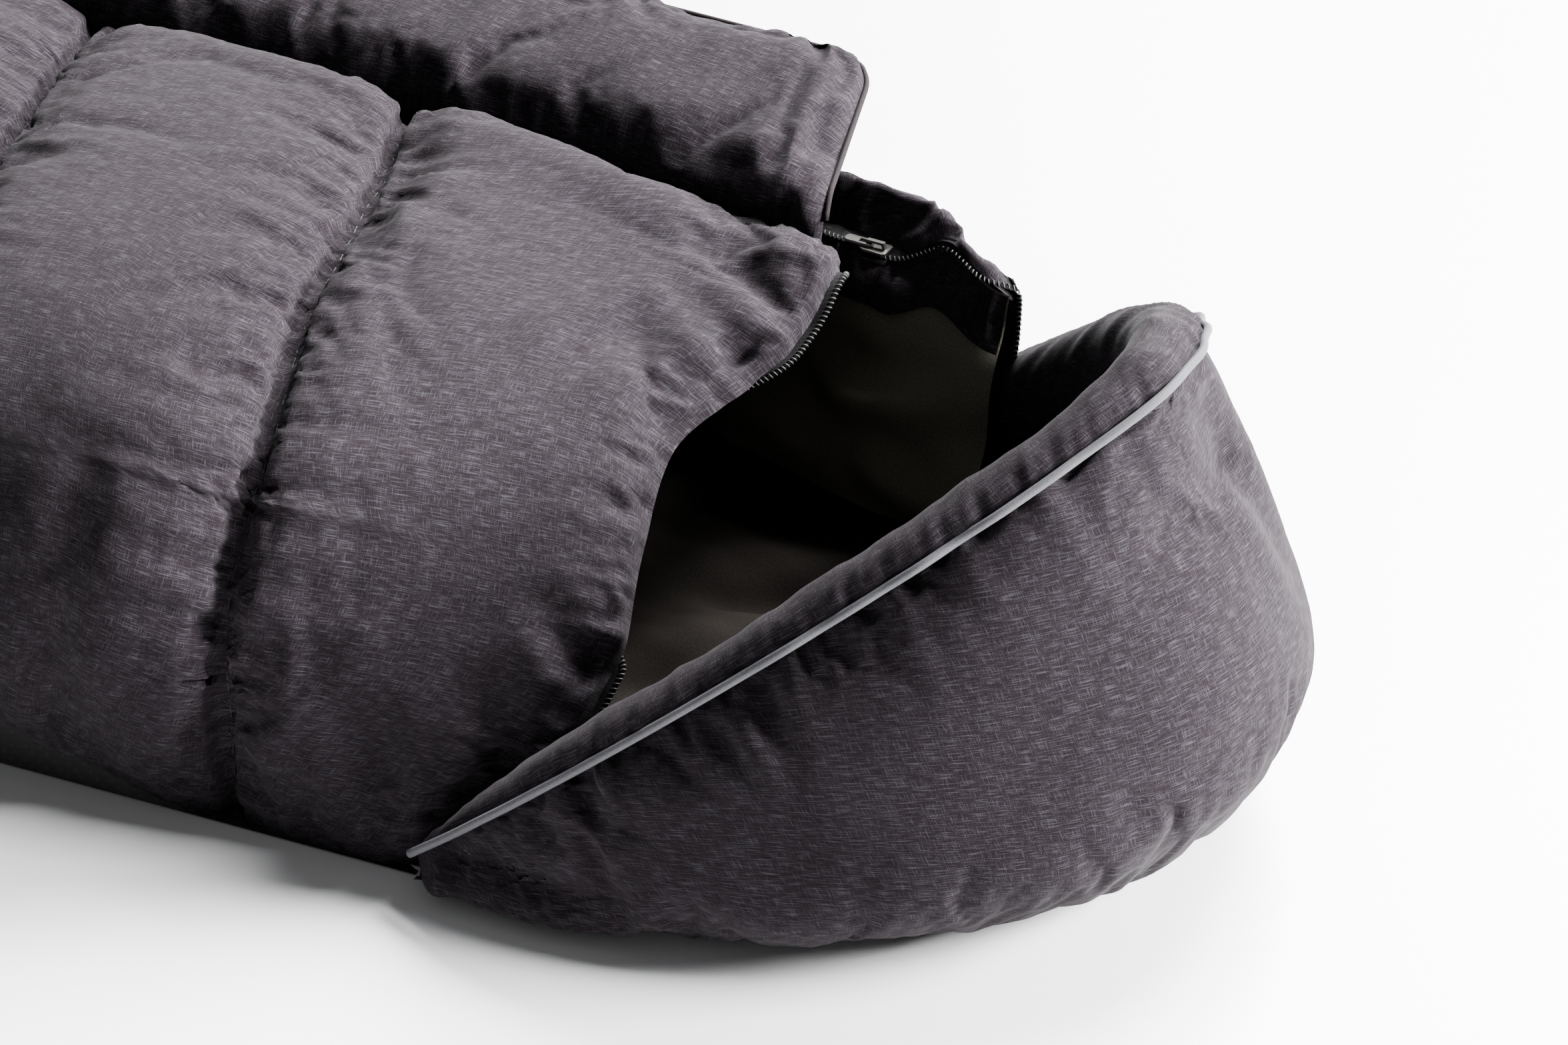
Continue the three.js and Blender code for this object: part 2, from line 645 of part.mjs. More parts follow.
function pullGeometry() {
  const bar = 0.7;
  const half = PULL_WIDTH / 2;
  const shape = polygon([
    [bar, half - 1],
    [bar - 1, half],
    [-PULL_LENGTH + 1.2, half],
    [-PULL_LENGTH, half - 1.2],
    [-PULL_LENGTH, 1.2 - half],
    [-PULL_LENGTH + 1.2, -half],
    [bar - 1, -half],
    [bar, 1 - half],
  ]);
  const eye = BRIDGE_WIDTH / 2 + 0.4;
  const hole = [
    [-bar, -eye],
    [-PULL_HOLE, -eye],
    [-PULL_HOLE, eye],
    [-bar, eye],
  ];
  shape.holes.push(new THREE.Path(hole.map(([x, y]) => new THREE.Vector2(x, y))));
  return extruded(shape, PULL_THICKNESS).translate(0, 0, -PULL_THICKNESS / 2);
}

const sliderPlace = new THREE.Group();
sliderPlace.position.set(
  SLIDER_X,
  halfWidth(SLIDER_X) - ZIP_INSET,
  ZIP_HEIGHT - SEAM_THICKNESS / 2,
);
sliderPlace.rotation.z = Math.atan2(halfWidth(SLIDER_X) - halfWidth(FOOT_X), SLIDER_X - FOOT_X);
bag.add(sliderPlace);
sliderPlace.add(add("zip_slider", sliderGeometry(), "metal"));
const pull = add("zip_pull", pullGeometry(), "metal");
pull.position.set(PULL_X, 0, PULL_Z);
sliderPlace.add(pull);

// ---- Wind flap ----
function flapSurface(u, v) {
  const corner = FLAP_CORNER * (1 - Math.sqrt(1 - clamp((v - 0.8) / 0.2, 0, 1) ** 2));
  const inset = FLAP_END_SLANT * v + corner;
  const x = lerp(FLAP_FOOT_X + inset, FLAP_NECK_X - inset, u);
  const rise = degToRad(FLAP_RISE);
  return V(
    x,
    halfWidth(x) - FLAP_SEAM_INSET + FLAP_WIDTH * v * Math.cos(rise),
    FLAP_SEAM_HEIGHT + FLAP_WIDTH * v * Math.sin(rise),
  );
}
addPadded("wind_flap", paddedLayers(flapSurface, 14, 6, puffed(FLAP_PUFF, 6, 2)));

const flapEdge = Array.from({ length: 15 }, (_, i) => {
  const u = i / 14;
  const rise = degToRad(FLAP_RISE);
  const out = V(0, Math.cos(rise), Math.sin(rise)).multiplyScalar(PIPING_RADIUS + 2 * LAYER_GAP);
  const down = V(0, Math.sin(rise), -Math.cos(rise)).multiplyScalar(SEAM_THICKNESS / 2);
  return flapSurface(u, 1).add(out).add(down);
});
const flapEdgeFrame = (i) => {
  const along = tangentAt(flapEdge, i);
  const side = along.clone().cross(V(0, 0, 1)).normalize();
  return { side, up: side.clone().cross(along) };
};
add("flap_piping", sweep(flapEdge, circle(PIPING_RADIUS, 8), flapEdgeFrame), "piping");

// ---- Care label, a folded slip lying on the wall's top seam by the slider ----
const LABEL = { length: 12, width: 9, thickness: 0.5 };
const label = new THREE.BoxGeometry(LABEL.length, LABEL.width, LABEL.thickness);
const labelX = NECK_X + LABEL.length;
label.translate(
  labelX,
  halfWidth(labelX) - LABEL.width / 2,
  ZIP_HEIGHT + LAYER_GAP + LABEL.thickness / 2,
);
add("care_label", label, "label");

export default bag;
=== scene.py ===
"""A padded, hooded zip-up bag for a small child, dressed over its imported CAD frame.

Shapes are worked out in millimetres in the row frame and turned into metres when a mesh is made:
+X runs towards the hood, -Y is the near, hinged side, and z 0 is the floor.
"""
import math

import bpy
import numpy as np
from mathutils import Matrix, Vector


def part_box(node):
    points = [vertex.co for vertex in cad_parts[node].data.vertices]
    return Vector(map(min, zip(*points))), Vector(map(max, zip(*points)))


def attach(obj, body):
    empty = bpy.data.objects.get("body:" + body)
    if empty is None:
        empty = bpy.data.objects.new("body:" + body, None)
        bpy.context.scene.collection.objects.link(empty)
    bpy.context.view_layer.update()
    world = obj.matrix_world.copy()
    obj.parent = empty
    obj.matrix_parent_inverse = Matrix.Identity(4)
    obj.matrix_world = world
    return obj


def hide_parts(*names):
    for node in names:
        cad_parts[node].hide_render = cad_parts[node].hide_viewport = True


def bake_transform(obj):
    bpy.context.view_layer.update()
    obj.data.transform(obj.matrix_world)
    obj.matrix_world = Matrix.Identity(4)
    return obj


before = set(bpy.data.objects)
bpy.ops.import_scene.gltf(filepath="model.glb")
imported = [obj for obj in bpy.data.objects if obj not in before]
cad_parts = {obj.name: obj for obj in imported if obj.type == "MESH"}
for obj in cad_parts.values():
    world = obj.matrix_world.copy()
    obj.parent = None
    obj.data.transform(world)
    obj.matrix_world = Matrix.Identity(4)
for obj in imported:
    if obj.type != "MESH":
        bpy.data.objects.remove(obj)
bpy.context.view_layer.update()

MM = 0.001


def node_box(name):
    """A CAD node's lowest and highest corners, in millimetres."""
    low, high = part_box(name)
    return np.array(low) / MM, np.array(high) / MM


# ---- Driving dimensions, in millimetres ----
NECK_X = node_box("hood_underside")[0][0]
FOOT_X = node_box("near_wall_outer")[0][0]
SLIDER_X = node_box("zip_slider")[0][0] + 6.5
FOOT_HALF_WIDTH = 204.0
NECK_HALF_WIDTH = 164.0
FOOT_DEPTH = 115.0
FOOT_DOME = 110.0
FOOT_RIM_HEIGHT = 100.0
CROWN = 180.0
HINGE_HEIGHT = 88.0
ZIP_HEIGHT = 151.0
SEAM = 6.0
COIL_OFFSET = 2.0
ZIP_HALF = 11.9
ZIP_INSET = SEAM + ZIP_HALF
HOOD_LENGTH = 249.0
HOOD_HEIGHT = 217.0
HOOD_NEAR_WIDTH = 170.0
HOOD_FAR_WIDTH = 180.0
HOOD_BULGE = 58.0  # how far the padding swells past the rim's tip
HOOD_FLOOR_LENGTH = 262.0
HOOD_FLOOR_WIDTH = 153.0
FLOOR_ROUNDNESS = 2.2
RIM_START_HEIGHT = 18.0  # where the rim starts, beside the neck
MAT_TOP = 24.0
FLAP_FOOT_X = -560.0
FLAP_NECK_X = -44.0
FLAP_WIDTH = 95.0
FLAP_RISE = math.radians(17)
FLAP_SEAM_INSET = 37.8
FLAP_SEAM_HEIGHT = 173.0
FLAP_END_SLANT = 18.0
FLAP_CORNER = 20.0
EAR_END_X = 35.0


# ---- Small numeric helpers ----
def clamp(value, low=0.0, high=1.0):
    return np.clip(value, low, high)


def lerp(a, b, k):
    return a + (b - a) * k


def smoothstep(x, low, high):
    k = clamp((x - low) / (high - low))
    return k * k * (3 - 2 * k)


def vec(x, y, z):
    return np.stack(np.broadcast_arrays(x, y, z), axis=-1).astype(float)


def spline(points, t):
    """A Catmull-Rom curve through points (..., k, 3), at t from 0 to 1."""
    count = points.shape[-2]
    s = clamp(t) * (count - 1)
    i = np.minimum(s.astype(int), count - 2)
    f = (s - i)[..., None]

    def at(j):
        j = np.clip(j, 0, count - 1)
        return np.take_along_axis(points, j[..., None, None], axis=-2)[..., 0, :]

    p1, p2 = at(i), at(i + 1)
    p0 = np.where((i == 0)[..., None], 2 * p1 - p2, at(i - 1))
    p3 = np.where((i == count - 2)[..., None], 2 * p2 - p1, at(i + 2))
    return 0.5 * (
        2 * p1
        + (p2 - p0) * f
        + (2 * p0 - 5 * p1 + 4 * p2 - p3) * f**2
        + (3 * p1 - p0 - 3 * p2 + p3) * f**3
    )


def unit(v):
    return v / np.maximum(np.linalg.norm(v, axis=-1, keepdims=True), 1e-9)


def normals(grid):
    """Normals of a grid of points, along du x dv."""
    return unit(np.cross(np.gradient(grid, axis=0), np.gradient(grid, axis=1)))


def arc(grid, axis):
    """Distance along a grid's lines in one direction, in millimetres."""
    steps = np.linalg.norm(np.diff(grid, axis=axis), axis=-1)
    start = np.zeros_like(np.take(steps, [0], axis=axis))
    return np.concatenate([start, np.cumsum(steps, axis=axis)], axis=axis)


def even(points, spacing):
    """Points spaced evenly along a polyline."""
    s = np.concatenate([[0], np.cumsum(np.linalg.norm(np.diff(points, axis=0), axis=1))])
    at = np.linspace(0, s[-1], max(2, int(round(s[-1] / spacing)) + 1))
    return np.stack([np.interp(at, s, points[:, k]) for k in range(3)], axis=1)


def smooth_noise(shape, cells, seed):
    """Smooth random values from -1 to 1 on a grid, with so many cells each way."""
    source = np.random.default_rng(seed).uniform(-1, 1, (cells[0] + 4, cells[1] + 4))
    u = np.linspace(1, cells[0] + 1, shape[0])
    v = np.linspace(1, cells[1] + 1, shape[1])

    def weights(t):
        i = t.astype(int)
        f = t - i
        cubic = [
            -0.5 * f + f**2 - 0.5 * f**3,
            1 - 2.5 * f**2 + 1.5 * f**3,
            0.5 * f + 2 * f**2 - 1.5 * f**3,
            -0.5 * f**2 + 0.5 * f**3,
        ]
        return i, cubic

    iu, wu = weights(u)
    iv, wv = weights(v)
    lines = sum(source[iu + k - 1] * wu[k][:, None] for k in range(4))
    return sum(lines[:, iv + k - 1] * wv[k][None, :] for k in range(4))


# ---- Plan and sections of the bag ----
def half_width(x):
    return lerp(NECK_HALF_WIDTH, FOOT_HALF_WIDTH, clamp((SLIDER_X - x) / (SLIDER_X - FOOT_X)))


def power(value, exponent):
    return np.sign(value) * np.abs(value) ** exponent


def foot_outline(angle, inset):
    """The rounded foot end in plan, from the near side (-90 degrees) to the far side."""
    return vec(
        FOOT_X - (FOOT_DEPTH - inset) * power(np.cos(angle), 2 / 3),
        (FOOT_HALF_WIDTH - inset) * power(np.sin(angle), 2 / 3),
        0,
    )


def foot_edge_x(y, inset):
    share = clamp(np.abs(y) / (FOOT_HALF_WIDTH - inset))
    return FOOT_X - (FOOT_DEPTH - inset) * (1 - share**3) ** (1 / 3)


def foot_rim(share):
    side = np.where(share > 0, ZIP_HEIGHT, HINGE_HEIGHT - 2)
    return lerp(FOOT_RIM_HEIGHT, side, smoothstep(np.abs(share), 0.55, 1))


def rows(*points):
    """Control points (each x, y, z arrays) as one array (..., k, 3)."""
    return np.stack([vec(*p) for p in points], axis=-2)


def cover_section(x):
    """Near wall and panel at x: a full arch, which turns into a slope near the neck."""
    w = half_width(x)
    edge = w - ZIP_INSET - ZIP_HALF
    rise = lambda k: HINGE_HEIGHT + (CROWN - HINGE_HEIGHT) * k
    arch = rows(
        (x, -w + 4, 1),
        (x, -w - 3, HINGE_HEIGHT * 0.55),
        (x, -w - 3, HINGE_HEIGHT),
        (x, -w + 12, rise(0.44)),
        (x, -w + 56, rise(0.81)),
        (x, -w + 128, CROWN - 2),
        (x, edge - 118, CROWN),
        (x, edge - 36, ZIP_HEIGHT + 23),
        (x, edge, ZIP_HEIGHT),
    )
    slope = rows(
        (x, -w + 4, 1),
        (x, -w + 17, HINGE_HEIGHT * 0.42),
        (x, -w + 38, HINGE_HEIGHT * 0.7),
        (x, -w + 70, HINGE_HEIGHT),
        (x, -w + 110, rise(0.29)),
        (x, edge - 140, rise(0.52)),
        (x, edge - 84, rise(0.64)),
        (x, edge - 30, rise(0.78)),
        (x, edge, ZIP_HEIGHT),
    )
    k = smoothstep(x, NECK_X - 150, NECK_X + 30)[..., None, None]
    return lerp(arch, slope, k)


# How far past the neck line the panel reaches, from its near side to its far side.
HEAD_EDGE = np.array([-3, 18, 44, 52, 44, 34, 50, 58, 44], float)


def head_edge_x(t):
    """The panel's neck edge, in plan."""
    line = vec(NECK_X + HEAD_EDGE, 0, 0)
    return spline(np.broadcast_to(line, np.shape(t) + line.shape), t)[..., 0]


def cover_point(u, t):
    """From the foot (u 0) to the neck (u 1), and from the near floor (t 0) to the far zip (t 1)."""
    across = spline(cover_section(np.full_like(t, FOOT_X)), t)
    inset = ZIP_INSET + ZIP_HALF
    foot_x = foot_edge_x(across[..., 1], inset)
    x = lerp(foot_x, head_edge_x(t), u)
    p = spline(cover_section(x), t)
    fall = 1 - clamp((x - foot_x) / FOOT_DOME)
    share = clamp(across[..., 1] / (FOOT_HALF_WIDTH - inset), -1, 1)
    rim = np.minimum(p[..., 2], foot_rim(share))
    return vec(x, p[..., 1], lerp(rim, p[..., 2], np.sqrt(1 - fall**2)))


# ---- Meshes ----
def mesh_piece(name, vertices, faces, uv=None):
    """A smooth mesh object from points in millimetres."""
    mesh = bpy.data.meshes.new(name)
    mesh.from_pydata((np.asarray(vertices) * MM).tolist(), [], faces)
    mesh.polygons.foreach_set("use_smooth", [True] * len(mesh.polygons))
    if uv is not None:
        layer = mesh.uv_layers.new(name="cloth")
        loops = np.zeros(len(mesh.loops), int)
        mesh.loops.foreach_get("vertex_index", loops)
        layer.data.foreach_set("uv", (np.asarray(uv)[loops] * MM).ravel())
    mesh.update()
    piece = bpy.data.objects.new(name, mesh)
    bpy.context.scene.collection.objects.link(piece)
    return piece


def grid_faces(nu, nv, start=0, flip=False):
    i, j = np.meshgrid(np.arange(nu - 1), np.arange(nv - 1), indexing="ij")
    a = (start + i * nv + j).ravel()
    quads = np.stack([a, a + nv, a + nv + 1, a + 1], axis=1)
    return (quads[:, ::-1] if flip else quads).tolist()


def grid_piece(name, grid, flip=False, flat=None):
    """A sheet from a grid of points, with its cloth coordinates in metres along the grid.

    flat is the same sheet before it was wrinkled, where the cloth's yarns run straight.
    """
    nu, nv = grid.shape[:2]
    flat = grid if flat is None else flat
    u = arc(flat, 0).mean(axis=1)[:, None] + np.zeros((nu, nv))
    v = arc(flat, 1)
    uv = np.stack([u, v], axis=-1).reshape(-1, 2)
    return mesh_piece(name, grid.reshape(-1, 3), grid_faces(nu, nv, 0, flip), uv)


def doubled(grid):
    """The same sheet with twice as many points each way, on cubic curves."""
    for axis in (0, 1):
        g = np.moveaxis(grid, axis, 0)
        before = np.concatenate([[2 * g[0] - g[1]], g[:-2]])
        after = np.concatenate([g[2:], [2 * g[-1] - g[-2]]])
        middle = (9 * (g[:-1] + g[1:]) - before - after) / 16
        out = np.empty((2 * len(g) - 1,) + g.shape[1:])
        out[::2] = g
        out[1::2] = middle
        grid = np.moveaxis(out, 0, axis)
    return grid


def tube(name, path, radius, sides=10):
    """A round cord along a path of points."""
    path = np.asarray(path, float)
    along = unit(np.gradient(path, axis=0))
    side = unit(np.cross(along, [0, 0, 1]))
    up = np.cross(side, along)
    a = np.linspace(0, 2 * math.pi, sides, endpoint=False)
    ring = np.cos(a)[None, :, None] * side[:, None] + np.sin(a)[None, :, None] * up[:, None]
    radius = np.broadcast_to(radius, len(path))
    points = path[:, None] + ring * radius[:, None, None]
    n = len(path)
    faces = []
    for i in range(n - 1):
        for j in range(sides):
            k = (j + 1) % sides
            faces.append([i * sides + j, (i + 1) * sides + j, (i + 1) * sides + k, i * sides + k])
    faces.append(list(range(sides)))
    faces.append([(n - 1) * sides + j for j in reversed(range(sides))])
    s = np.concatenate([[0], np.cumsum(np.linalg.norm(np.diff(path, axis=0), axis=1))])
    uv = np.stack([np.repeat(s, sides), np.tile(a * radius[0], n)], axis=1)
    return mesh_piece(name, points.reshape(-1, 3), faces, uv)


def even_rows(grid):
    """The same sheet with the points of each line across spaced evenly."""
    s = arc(grid, 1)
    share = np.linspace(0, 1, grid.shape[1])
    lines = [
        np.stack([np.interp(share * d[-1], d, line[:, k]) for k in range(3)], axis=-1)
        for d, line in zip(s, grid)
    ]
    return np.array(lines)


def section_grid(surface, along, count, height=0.0, top=1.0):
    """A grid of a surface from where each section first reaches a height up to its top."""
    fine = np.linspace(0, 0.35, 90)
    z = surface(*np.meshgrid(along, fine, indexing="ij"))[..., 2]
    height = np.broadcast_to(height, len(along))
    first = np.array([np.interp(h, row, fine) for h, row in zip(height, z)])[:, None]
    share = lerp(first, top, np.linspace(0, 1, count))
    below = lerp(0.0, first, np.linspace(0, 1, 8))
    spread = lambda a: np.broadcast_to(along[:, None], a.shape)
    return even_rows(surface(spread(share), share)), surface(spread(below), below)


def seam_dip(distance, depth, reach):
    """How far padded cloth lies below its full height at a distance from a seam."""
    k = clamp(np.abs(distance) / reach)
    return depth * (1 - np.sqrt(1 - (1 - k) ** 2))


def edge_distances(grid):
    """Distances from a grid's first and last lines along it and across it."""
    a, b = arc(grid, 0), arc(grid, 1)
    return a, a[-1:] - a, b, b[:, -1:] - b


def edge_distance(grid):
    """Distance from the nearest edge of a grid."""
    return np.minimum.reduce(edge_distances(grid))


def waves(s, pitch, seed):
    """An uneven ripple of about that pitch, from about -1 to 1."""
    r = np.random.default_rng(seed)
    parts = [
        np.sin(2 * math.pi * s / (pitch * r.uniform(0.6, 1.7)) + r.uniform(0, 6.3))
        for _ in range(5)
    ]
    return sum(parts) / 2.4


def puckers(distance, along, depth, pitch, reach, seed):
    """Gathers that run square to a seam and die away from it."""
    k = np.abs(distance) / reach
    spread = waves(along + 0.15 * distance, pitch * 2.6, seed + 1)
    return depth * k * np.exp(1 - k) * waves(along, pitch, seed) * (1 + 0.6 * spread)


def fold(grid, start, end, depth, width):
    """A soft crease between two points near the surface, with low ridges beside it."""
    a, b = np.array(start, float), np.array(end, float)
    along = clamp(((grid - a) @ (b - a)) / ((b - a) @ (b - a)))
    d = np.linalg.norm(grid - (a + along[..., None] * (b - a)), axis=-1) / width
    taper = np.sin(math.pi * clamp(along, 0.06, 0.94)) ** 0.6
    profile = np.exp(-(d**2)) - 0.42 * np.exp(-((d - 1.9) ** 2))
    return -depth * taper * profile


def raised(grid, height):
    return grid + normals(grid) * height[..., None]


# ---- Front panel and near wall: one run of padded cloth ----
STITCH_COUNT = 3
STITCH_SPACING = 180.0
COVER_THICKNESS = 26.0
COVER_SEAM_HEIGHT = 21.0


def stitch_x(y, k):
    """Where a quilting seam crosses the panel; it slants towards the foot on the far side."""
    near = 12 * smoothstep(-y, 20, 120)
    return -215 - 0.25 * y - 0.0005 * y**2 + near - STITCH_SPACING * k


def stitch_distance(grid):
    """How far each point lies from each of the quilting seams, along the bag."""
    return np.stack([grid[..., 0] - stitch_x(grid[..., 1], k) for k in range(STITCH_COUNT)])


def seam_height(x):
    """Where the near wall's cloth meets the underside; it comes down to the floor at the neck."""
    return lerp(1.2, COVER_SEAM_HEIGHT, smoothstep(-x, 180, 300))


cover_along = np.linspace(0, 1, 142)
cover_base, cover_wrap = section_grid(
    cover_point, cover_along, 96, seam_height(lerp(FOOT_X, NECK_X, cover_along))
)


def cover_dips(grid):
    """How far the quilting and the edge seams hold the cloth down."""
    foot, head, near, far = edge_distances(grid)
    stitches = np.abs(stitch_distance(grid)).min(axis=0)
    return np.maximum.reduce(
        [
            seam_dip(head, 13, 27),
            seam_dip(far, 6, 14),
            seam_dip(foot, 5, 16),
            seam_dip(near, 7, 20) * lerp(0.12, 1, smoothstep(-grid[..., 0], 170, 280)),
            seam_dip(stitches, 13, 36),
        ]
    )


far_distance = edge_distances(cover_base)[3]
far_shoulder = 11 * np.exp(-(((far_distance - 36) / 20) ** 2))
cover_start = raised(cover_base, far_shoulder - cover_dips(cover_base))


# ---- Walls: round the foot end, along the far side and on as the ear ----
WALL_SEAM_HEIGHT = 14.0
EAR_START_X = -17.0
EAR_HEIGHT = 144.0
EAR_LEAN = 22.0
# How far out each point of a wall's section lies, for its outer cloth and for its lining.
WALL_OUT = (-6, 4, 6, 5, 4, -1, -6)
LINING_OUT = (-26, -18, -17, -16, -14, -10, -8)


def wall_section(base, outward, top, outs):
    """A wall's section: its foot, a bulge, and a rounded top that comes down to the zip."""
    at = lambda out, z: np.concatenate([(base + outward * out)[..., :2], z[..., None]], axis=-1)
    heights = [1 + 0 * top, top * 0.3, top * 0.6, top * 0.84, top * 0.97, top + 5, top - 1]
    return np.stack([at(out, z) for out, z in zip(outs, heights)], axis=-2)


def foot_wall(angle, v, outs=WALL_OUT):
    base = foot_outline(angle, 0)
    outward = unit(base - foot_outline(angle, 10))
    return spline(wall_section(base, outward, foot_rim(base[..., 1] / FOOT_HALF_WIDTH), outs), v)


# The ear's zip edge waves: places along it, how far in from the wall, and its height.
EAR_PLACES = (-120, -60, -30, -12, 0, 9, 22, 36)
EAR_IN = (7, 8, 10, 15, 13, 16, 23, 28)
EAR_TOP = (151, 151, 150, 148, 157, 162, 157, 151)


def ear_edge(x):
    """How far in from the wall the zip edge lies, and its height."""
    spread = [x + d for d in (-6, -3, 0, 3, 6)]
    inward = sum(np.interp(p, EAR_PLACES, EAR_IN) for p in spread) / 5
    return inward, sum(np.interp(p, EAR_PLACES, EAR_TOP) for p in spread) / 5


def far_wall(x, v, outs=WALL_OUT):
    """The far wall, which leans in past the neck as the ear."""
    w = half_width(x)
    flat = 0 * x
    wall = wall_section(vec(x, w, 0), vec(flat, flat + 1, flat), flat + ZIP_HEIGHT, outs)
    low = clamp((x - NECK_X) / (EAR_END_X - NECK_X))
    high = smoothstep(x, EAR_START_X, EAR_END_X)
    top = lerp(ZIP_HEIGHT, EAR_HEIGHT, high)
    crest = lerp(170, 155, smoothstep(x, -6, 40))
    edge_in, edge_z = ear_edge(x)
    if outs is WALL_OUT:
        ear = rows(
            (x, w - lerp(26, 48, low), MAT_TOP + 4),
            (x, w - lerp(18, 44, low), top * 0.4),
            (x, w - lerp(6, 34, low), top * 0.62),
            (x, w + 6 - (EAR_LEAN + 4) * high, top * 0.84),
            (x, w + 6 - EAR_LEAN * high, lerp(top, crest, 0.5)),
            (x, w - 2 - 0.7 * EAR_LEAN * high, crest),
            (x, w - edge_in, edge_z),
        )
    else:
        ear = rows(
            (x, w - lerp(44, 62, low), MAT_TOP + 2),
            (x, w - lerp(38, 62, low), top * 0.33),
            (x, w - lerp(30, 56, low), top * 0.5),
            (x, w - lerp(22, 50, low), top * 0.66),
            (x, w - lerp(16, 44, low), top * 0.8),
            (x, w - lerp(12, 34, low), top * 0.92),
            (x, w - edge_in - 1, edge_z - 2),
        )
    k = smoothstep(x, NECK_X - 70, NECK_X)[..., None, None]
    return spline(lerp(wall, ear, k), v)


def wall_surface(s, v, outs=WALL_OUT):
    """Along s from the near end of the foot (-1) to the foot's far corner (0) to the ear (1)."""
    angle = lerp(-math.pi / 2, math.pi / 2, clamp(s + 1))
    x = lerp(FOOT_X, EAR_END_X + 8, clamp(s))
    return np.where((s < 0)[..., None], foot_wall(angle, v, outs), far_wall(x, v, outs))


def wall_inner_surface(s, v):
    return wall_surface(s, v, LINING_OUT)


wall_along = np.concatenate([np.linspace(-1, 0, 90)[:-1], np.linspace(0, 1, 120)])
wall_height = lerp(WALL_SEAM_HEIGHT, 27.5, smoothstep(wall_along, 0.8, 0.95))
wall_base, wall_wrap = section_grid(wall_surface, wall_along, 32, wall_height)
wall_base, wall_wrap = wall_base[::-1], wall_wrap[::-1]


def wall_dips(grid):
    """How far the wall's seams hold its cloth down."""
    ear, foot, low, top = edge_distances(grid)
    return np.maximum.reduce(
        [seam_dip(top, 1, 8), seam_dip(ear, 7, 20), seam_dip(low, 5, 18), seam_dip(foot, 5, 18)]
    )


wall_start = raised(wall_base, -wall_dips(wall_base))

# ---- Hood ----
def hood_outline(angle, length, width, roundness):
    x = NECK_X + length * power(np.cos(angle), 2 / roundness)
    return vec(x, width * power(np.sin(angle), 2 / roundness), 0)


def rim_points(u):
    """The hood's rim from the near side (0) over the tip to the far side (1)."""
    angle = lerp(-math.pi / 2, math.pi / 2, u)
    near = hood_outline(angle, HOOD_LENGTH, HOOD_NEAR_WIDTH, 1.5)
    far = hood_outline(angle, HOOD_LENGTH, HOOD_FAR_WIDTH, 2.0)
    p = np.where((angle < 0)[..., None], near, far)
    along = clamp((p[..., 0] - NECK_X) / HOOD_LENGTH)
    z = lerp(RIM_START_HEIGHT, HOOD_HEIGHT, np.where(angle < 0, along, along**1.3))
    return vec(p[..., 0], p[..., 1], z)


def hood_surface(u, v):
    """From the floor (v 0) to the rim (v 1)."""
    angle = lerp(-math.pi / 2, math.pi / 2, u)
    rim = rim_points(u)
    floor = hood_outline(angle, HOOD_FLOOR_LENGTH, HOOD_FLOOR_WIDTH, FLOOR_ROUNDNESS)
    tip = np.cos(angle)[..., None] ** 2
    bulge = hood_outline(angle, HOOD_LENGTH + HOOD_BULGE, 178.0, FLOOR_ROUNDNESS)
    z = rim[..., 2]
    low = np.maximum(10, lerp(0.24, 0.32, np.cos(angle)) * z)
    at = lambda p, height: np.concatenate([p[..., :2], height[..., None]], axis=-1)
    section = np.stack(
        [
            at(floor, 0.8 + 0 * z),
            at(lerp(floor, bulge, 0.6), low * 0.35),
            at(bulge, low),
            at(lerp(rim, bulge, lerp(0.62, 0.46, tip)), lerp(z, low, 0.45)),
            rim,
        ],
        axis=-2,
    )
    return spline(section, v)


def even_along(surface, count, ends):
    """Shares along a surface's top edge that are evenly spaced on it."""
    u = np.linspace(*ends, 600)
    s = np.concatenate([[0], np.cumsum(np.linalg.norm(np.diff(surface(u), axis=0), axis=1))])
    return np.interp(np.linspace(0, s[-1], count), s, u)


hood_along = even_along(lambda u: hood_surface(u, 0 * u + 0.6), 190, (0.004, 0.992))
hood_base = even_rows(hood_surface(*np.meshgrid(hood_along, np.linspace(0, 1, 56), indexing="ij")))


def hood_dips(grid):
    """How far the hood's seams hold its cloth down; less where the hood is low."""
    near, far, floor, rim = edge_distances(grid)
    room = clamp(arc(grid, 1)[:, -1:] / 120)
    ends = np.minimum(near, far)
    dips = [seam_dip(rim, 9, 30), seam_dip(floor, 4, 16), seam_dip(ends, 6, 20)]
    return room * np.maximum.reduce(dips)


hood_start = raised(hood_base, -hood_dips(hood_base))

# ---- Wind flap: a closed pad, sewn to the panel along its first edge ----
FLAP_THICKNESS = 20.0
FLAP_TUCK = 15.0  # how far its seam lies below the fold


def flap_surface(u, v):
    """From the foot end (u 0) to the neck end, and from the seam (v 0) to the free edge."""
    rounding = 1 - np.sqrt(1 - clamp((v - 0.8) / 0.2) ** 2)
    inset = FLAP_END_SLANT * v + FLAP_CORNER * rounding
    x = lerp(FLAP_FOOT_X + inset, FLAP_NECK_X - inset, u)
    tuck = FLAP_TUCK * (1 - clamp(v / 0.16)) ** 2
    return vec(
        x,
        half_width(x) - FLAP_SEAM_INSET + FLAP_WIDTH * v * math.cos(FLAP_RISE),
        FLAP_SEAM_HEIGHT + FLAP_WIDTH * v * math.sin(FLAP_RISE) - tuck,
    )


flap_base = flap_surface(*np.meshgrid(np.linspace(0, 1, 104), np.linspace(0, 1, 22), indexing="ij"))


def flap_side(side):
    """The flap's upper (1) or lower (-1) cloth, which comes down to the middle at the edges."""
    half = FLAP_THICKNESS / 2
    return raised(flap_base, side * (half - seam_dip(edge_distance(flap_base), half, 22)))


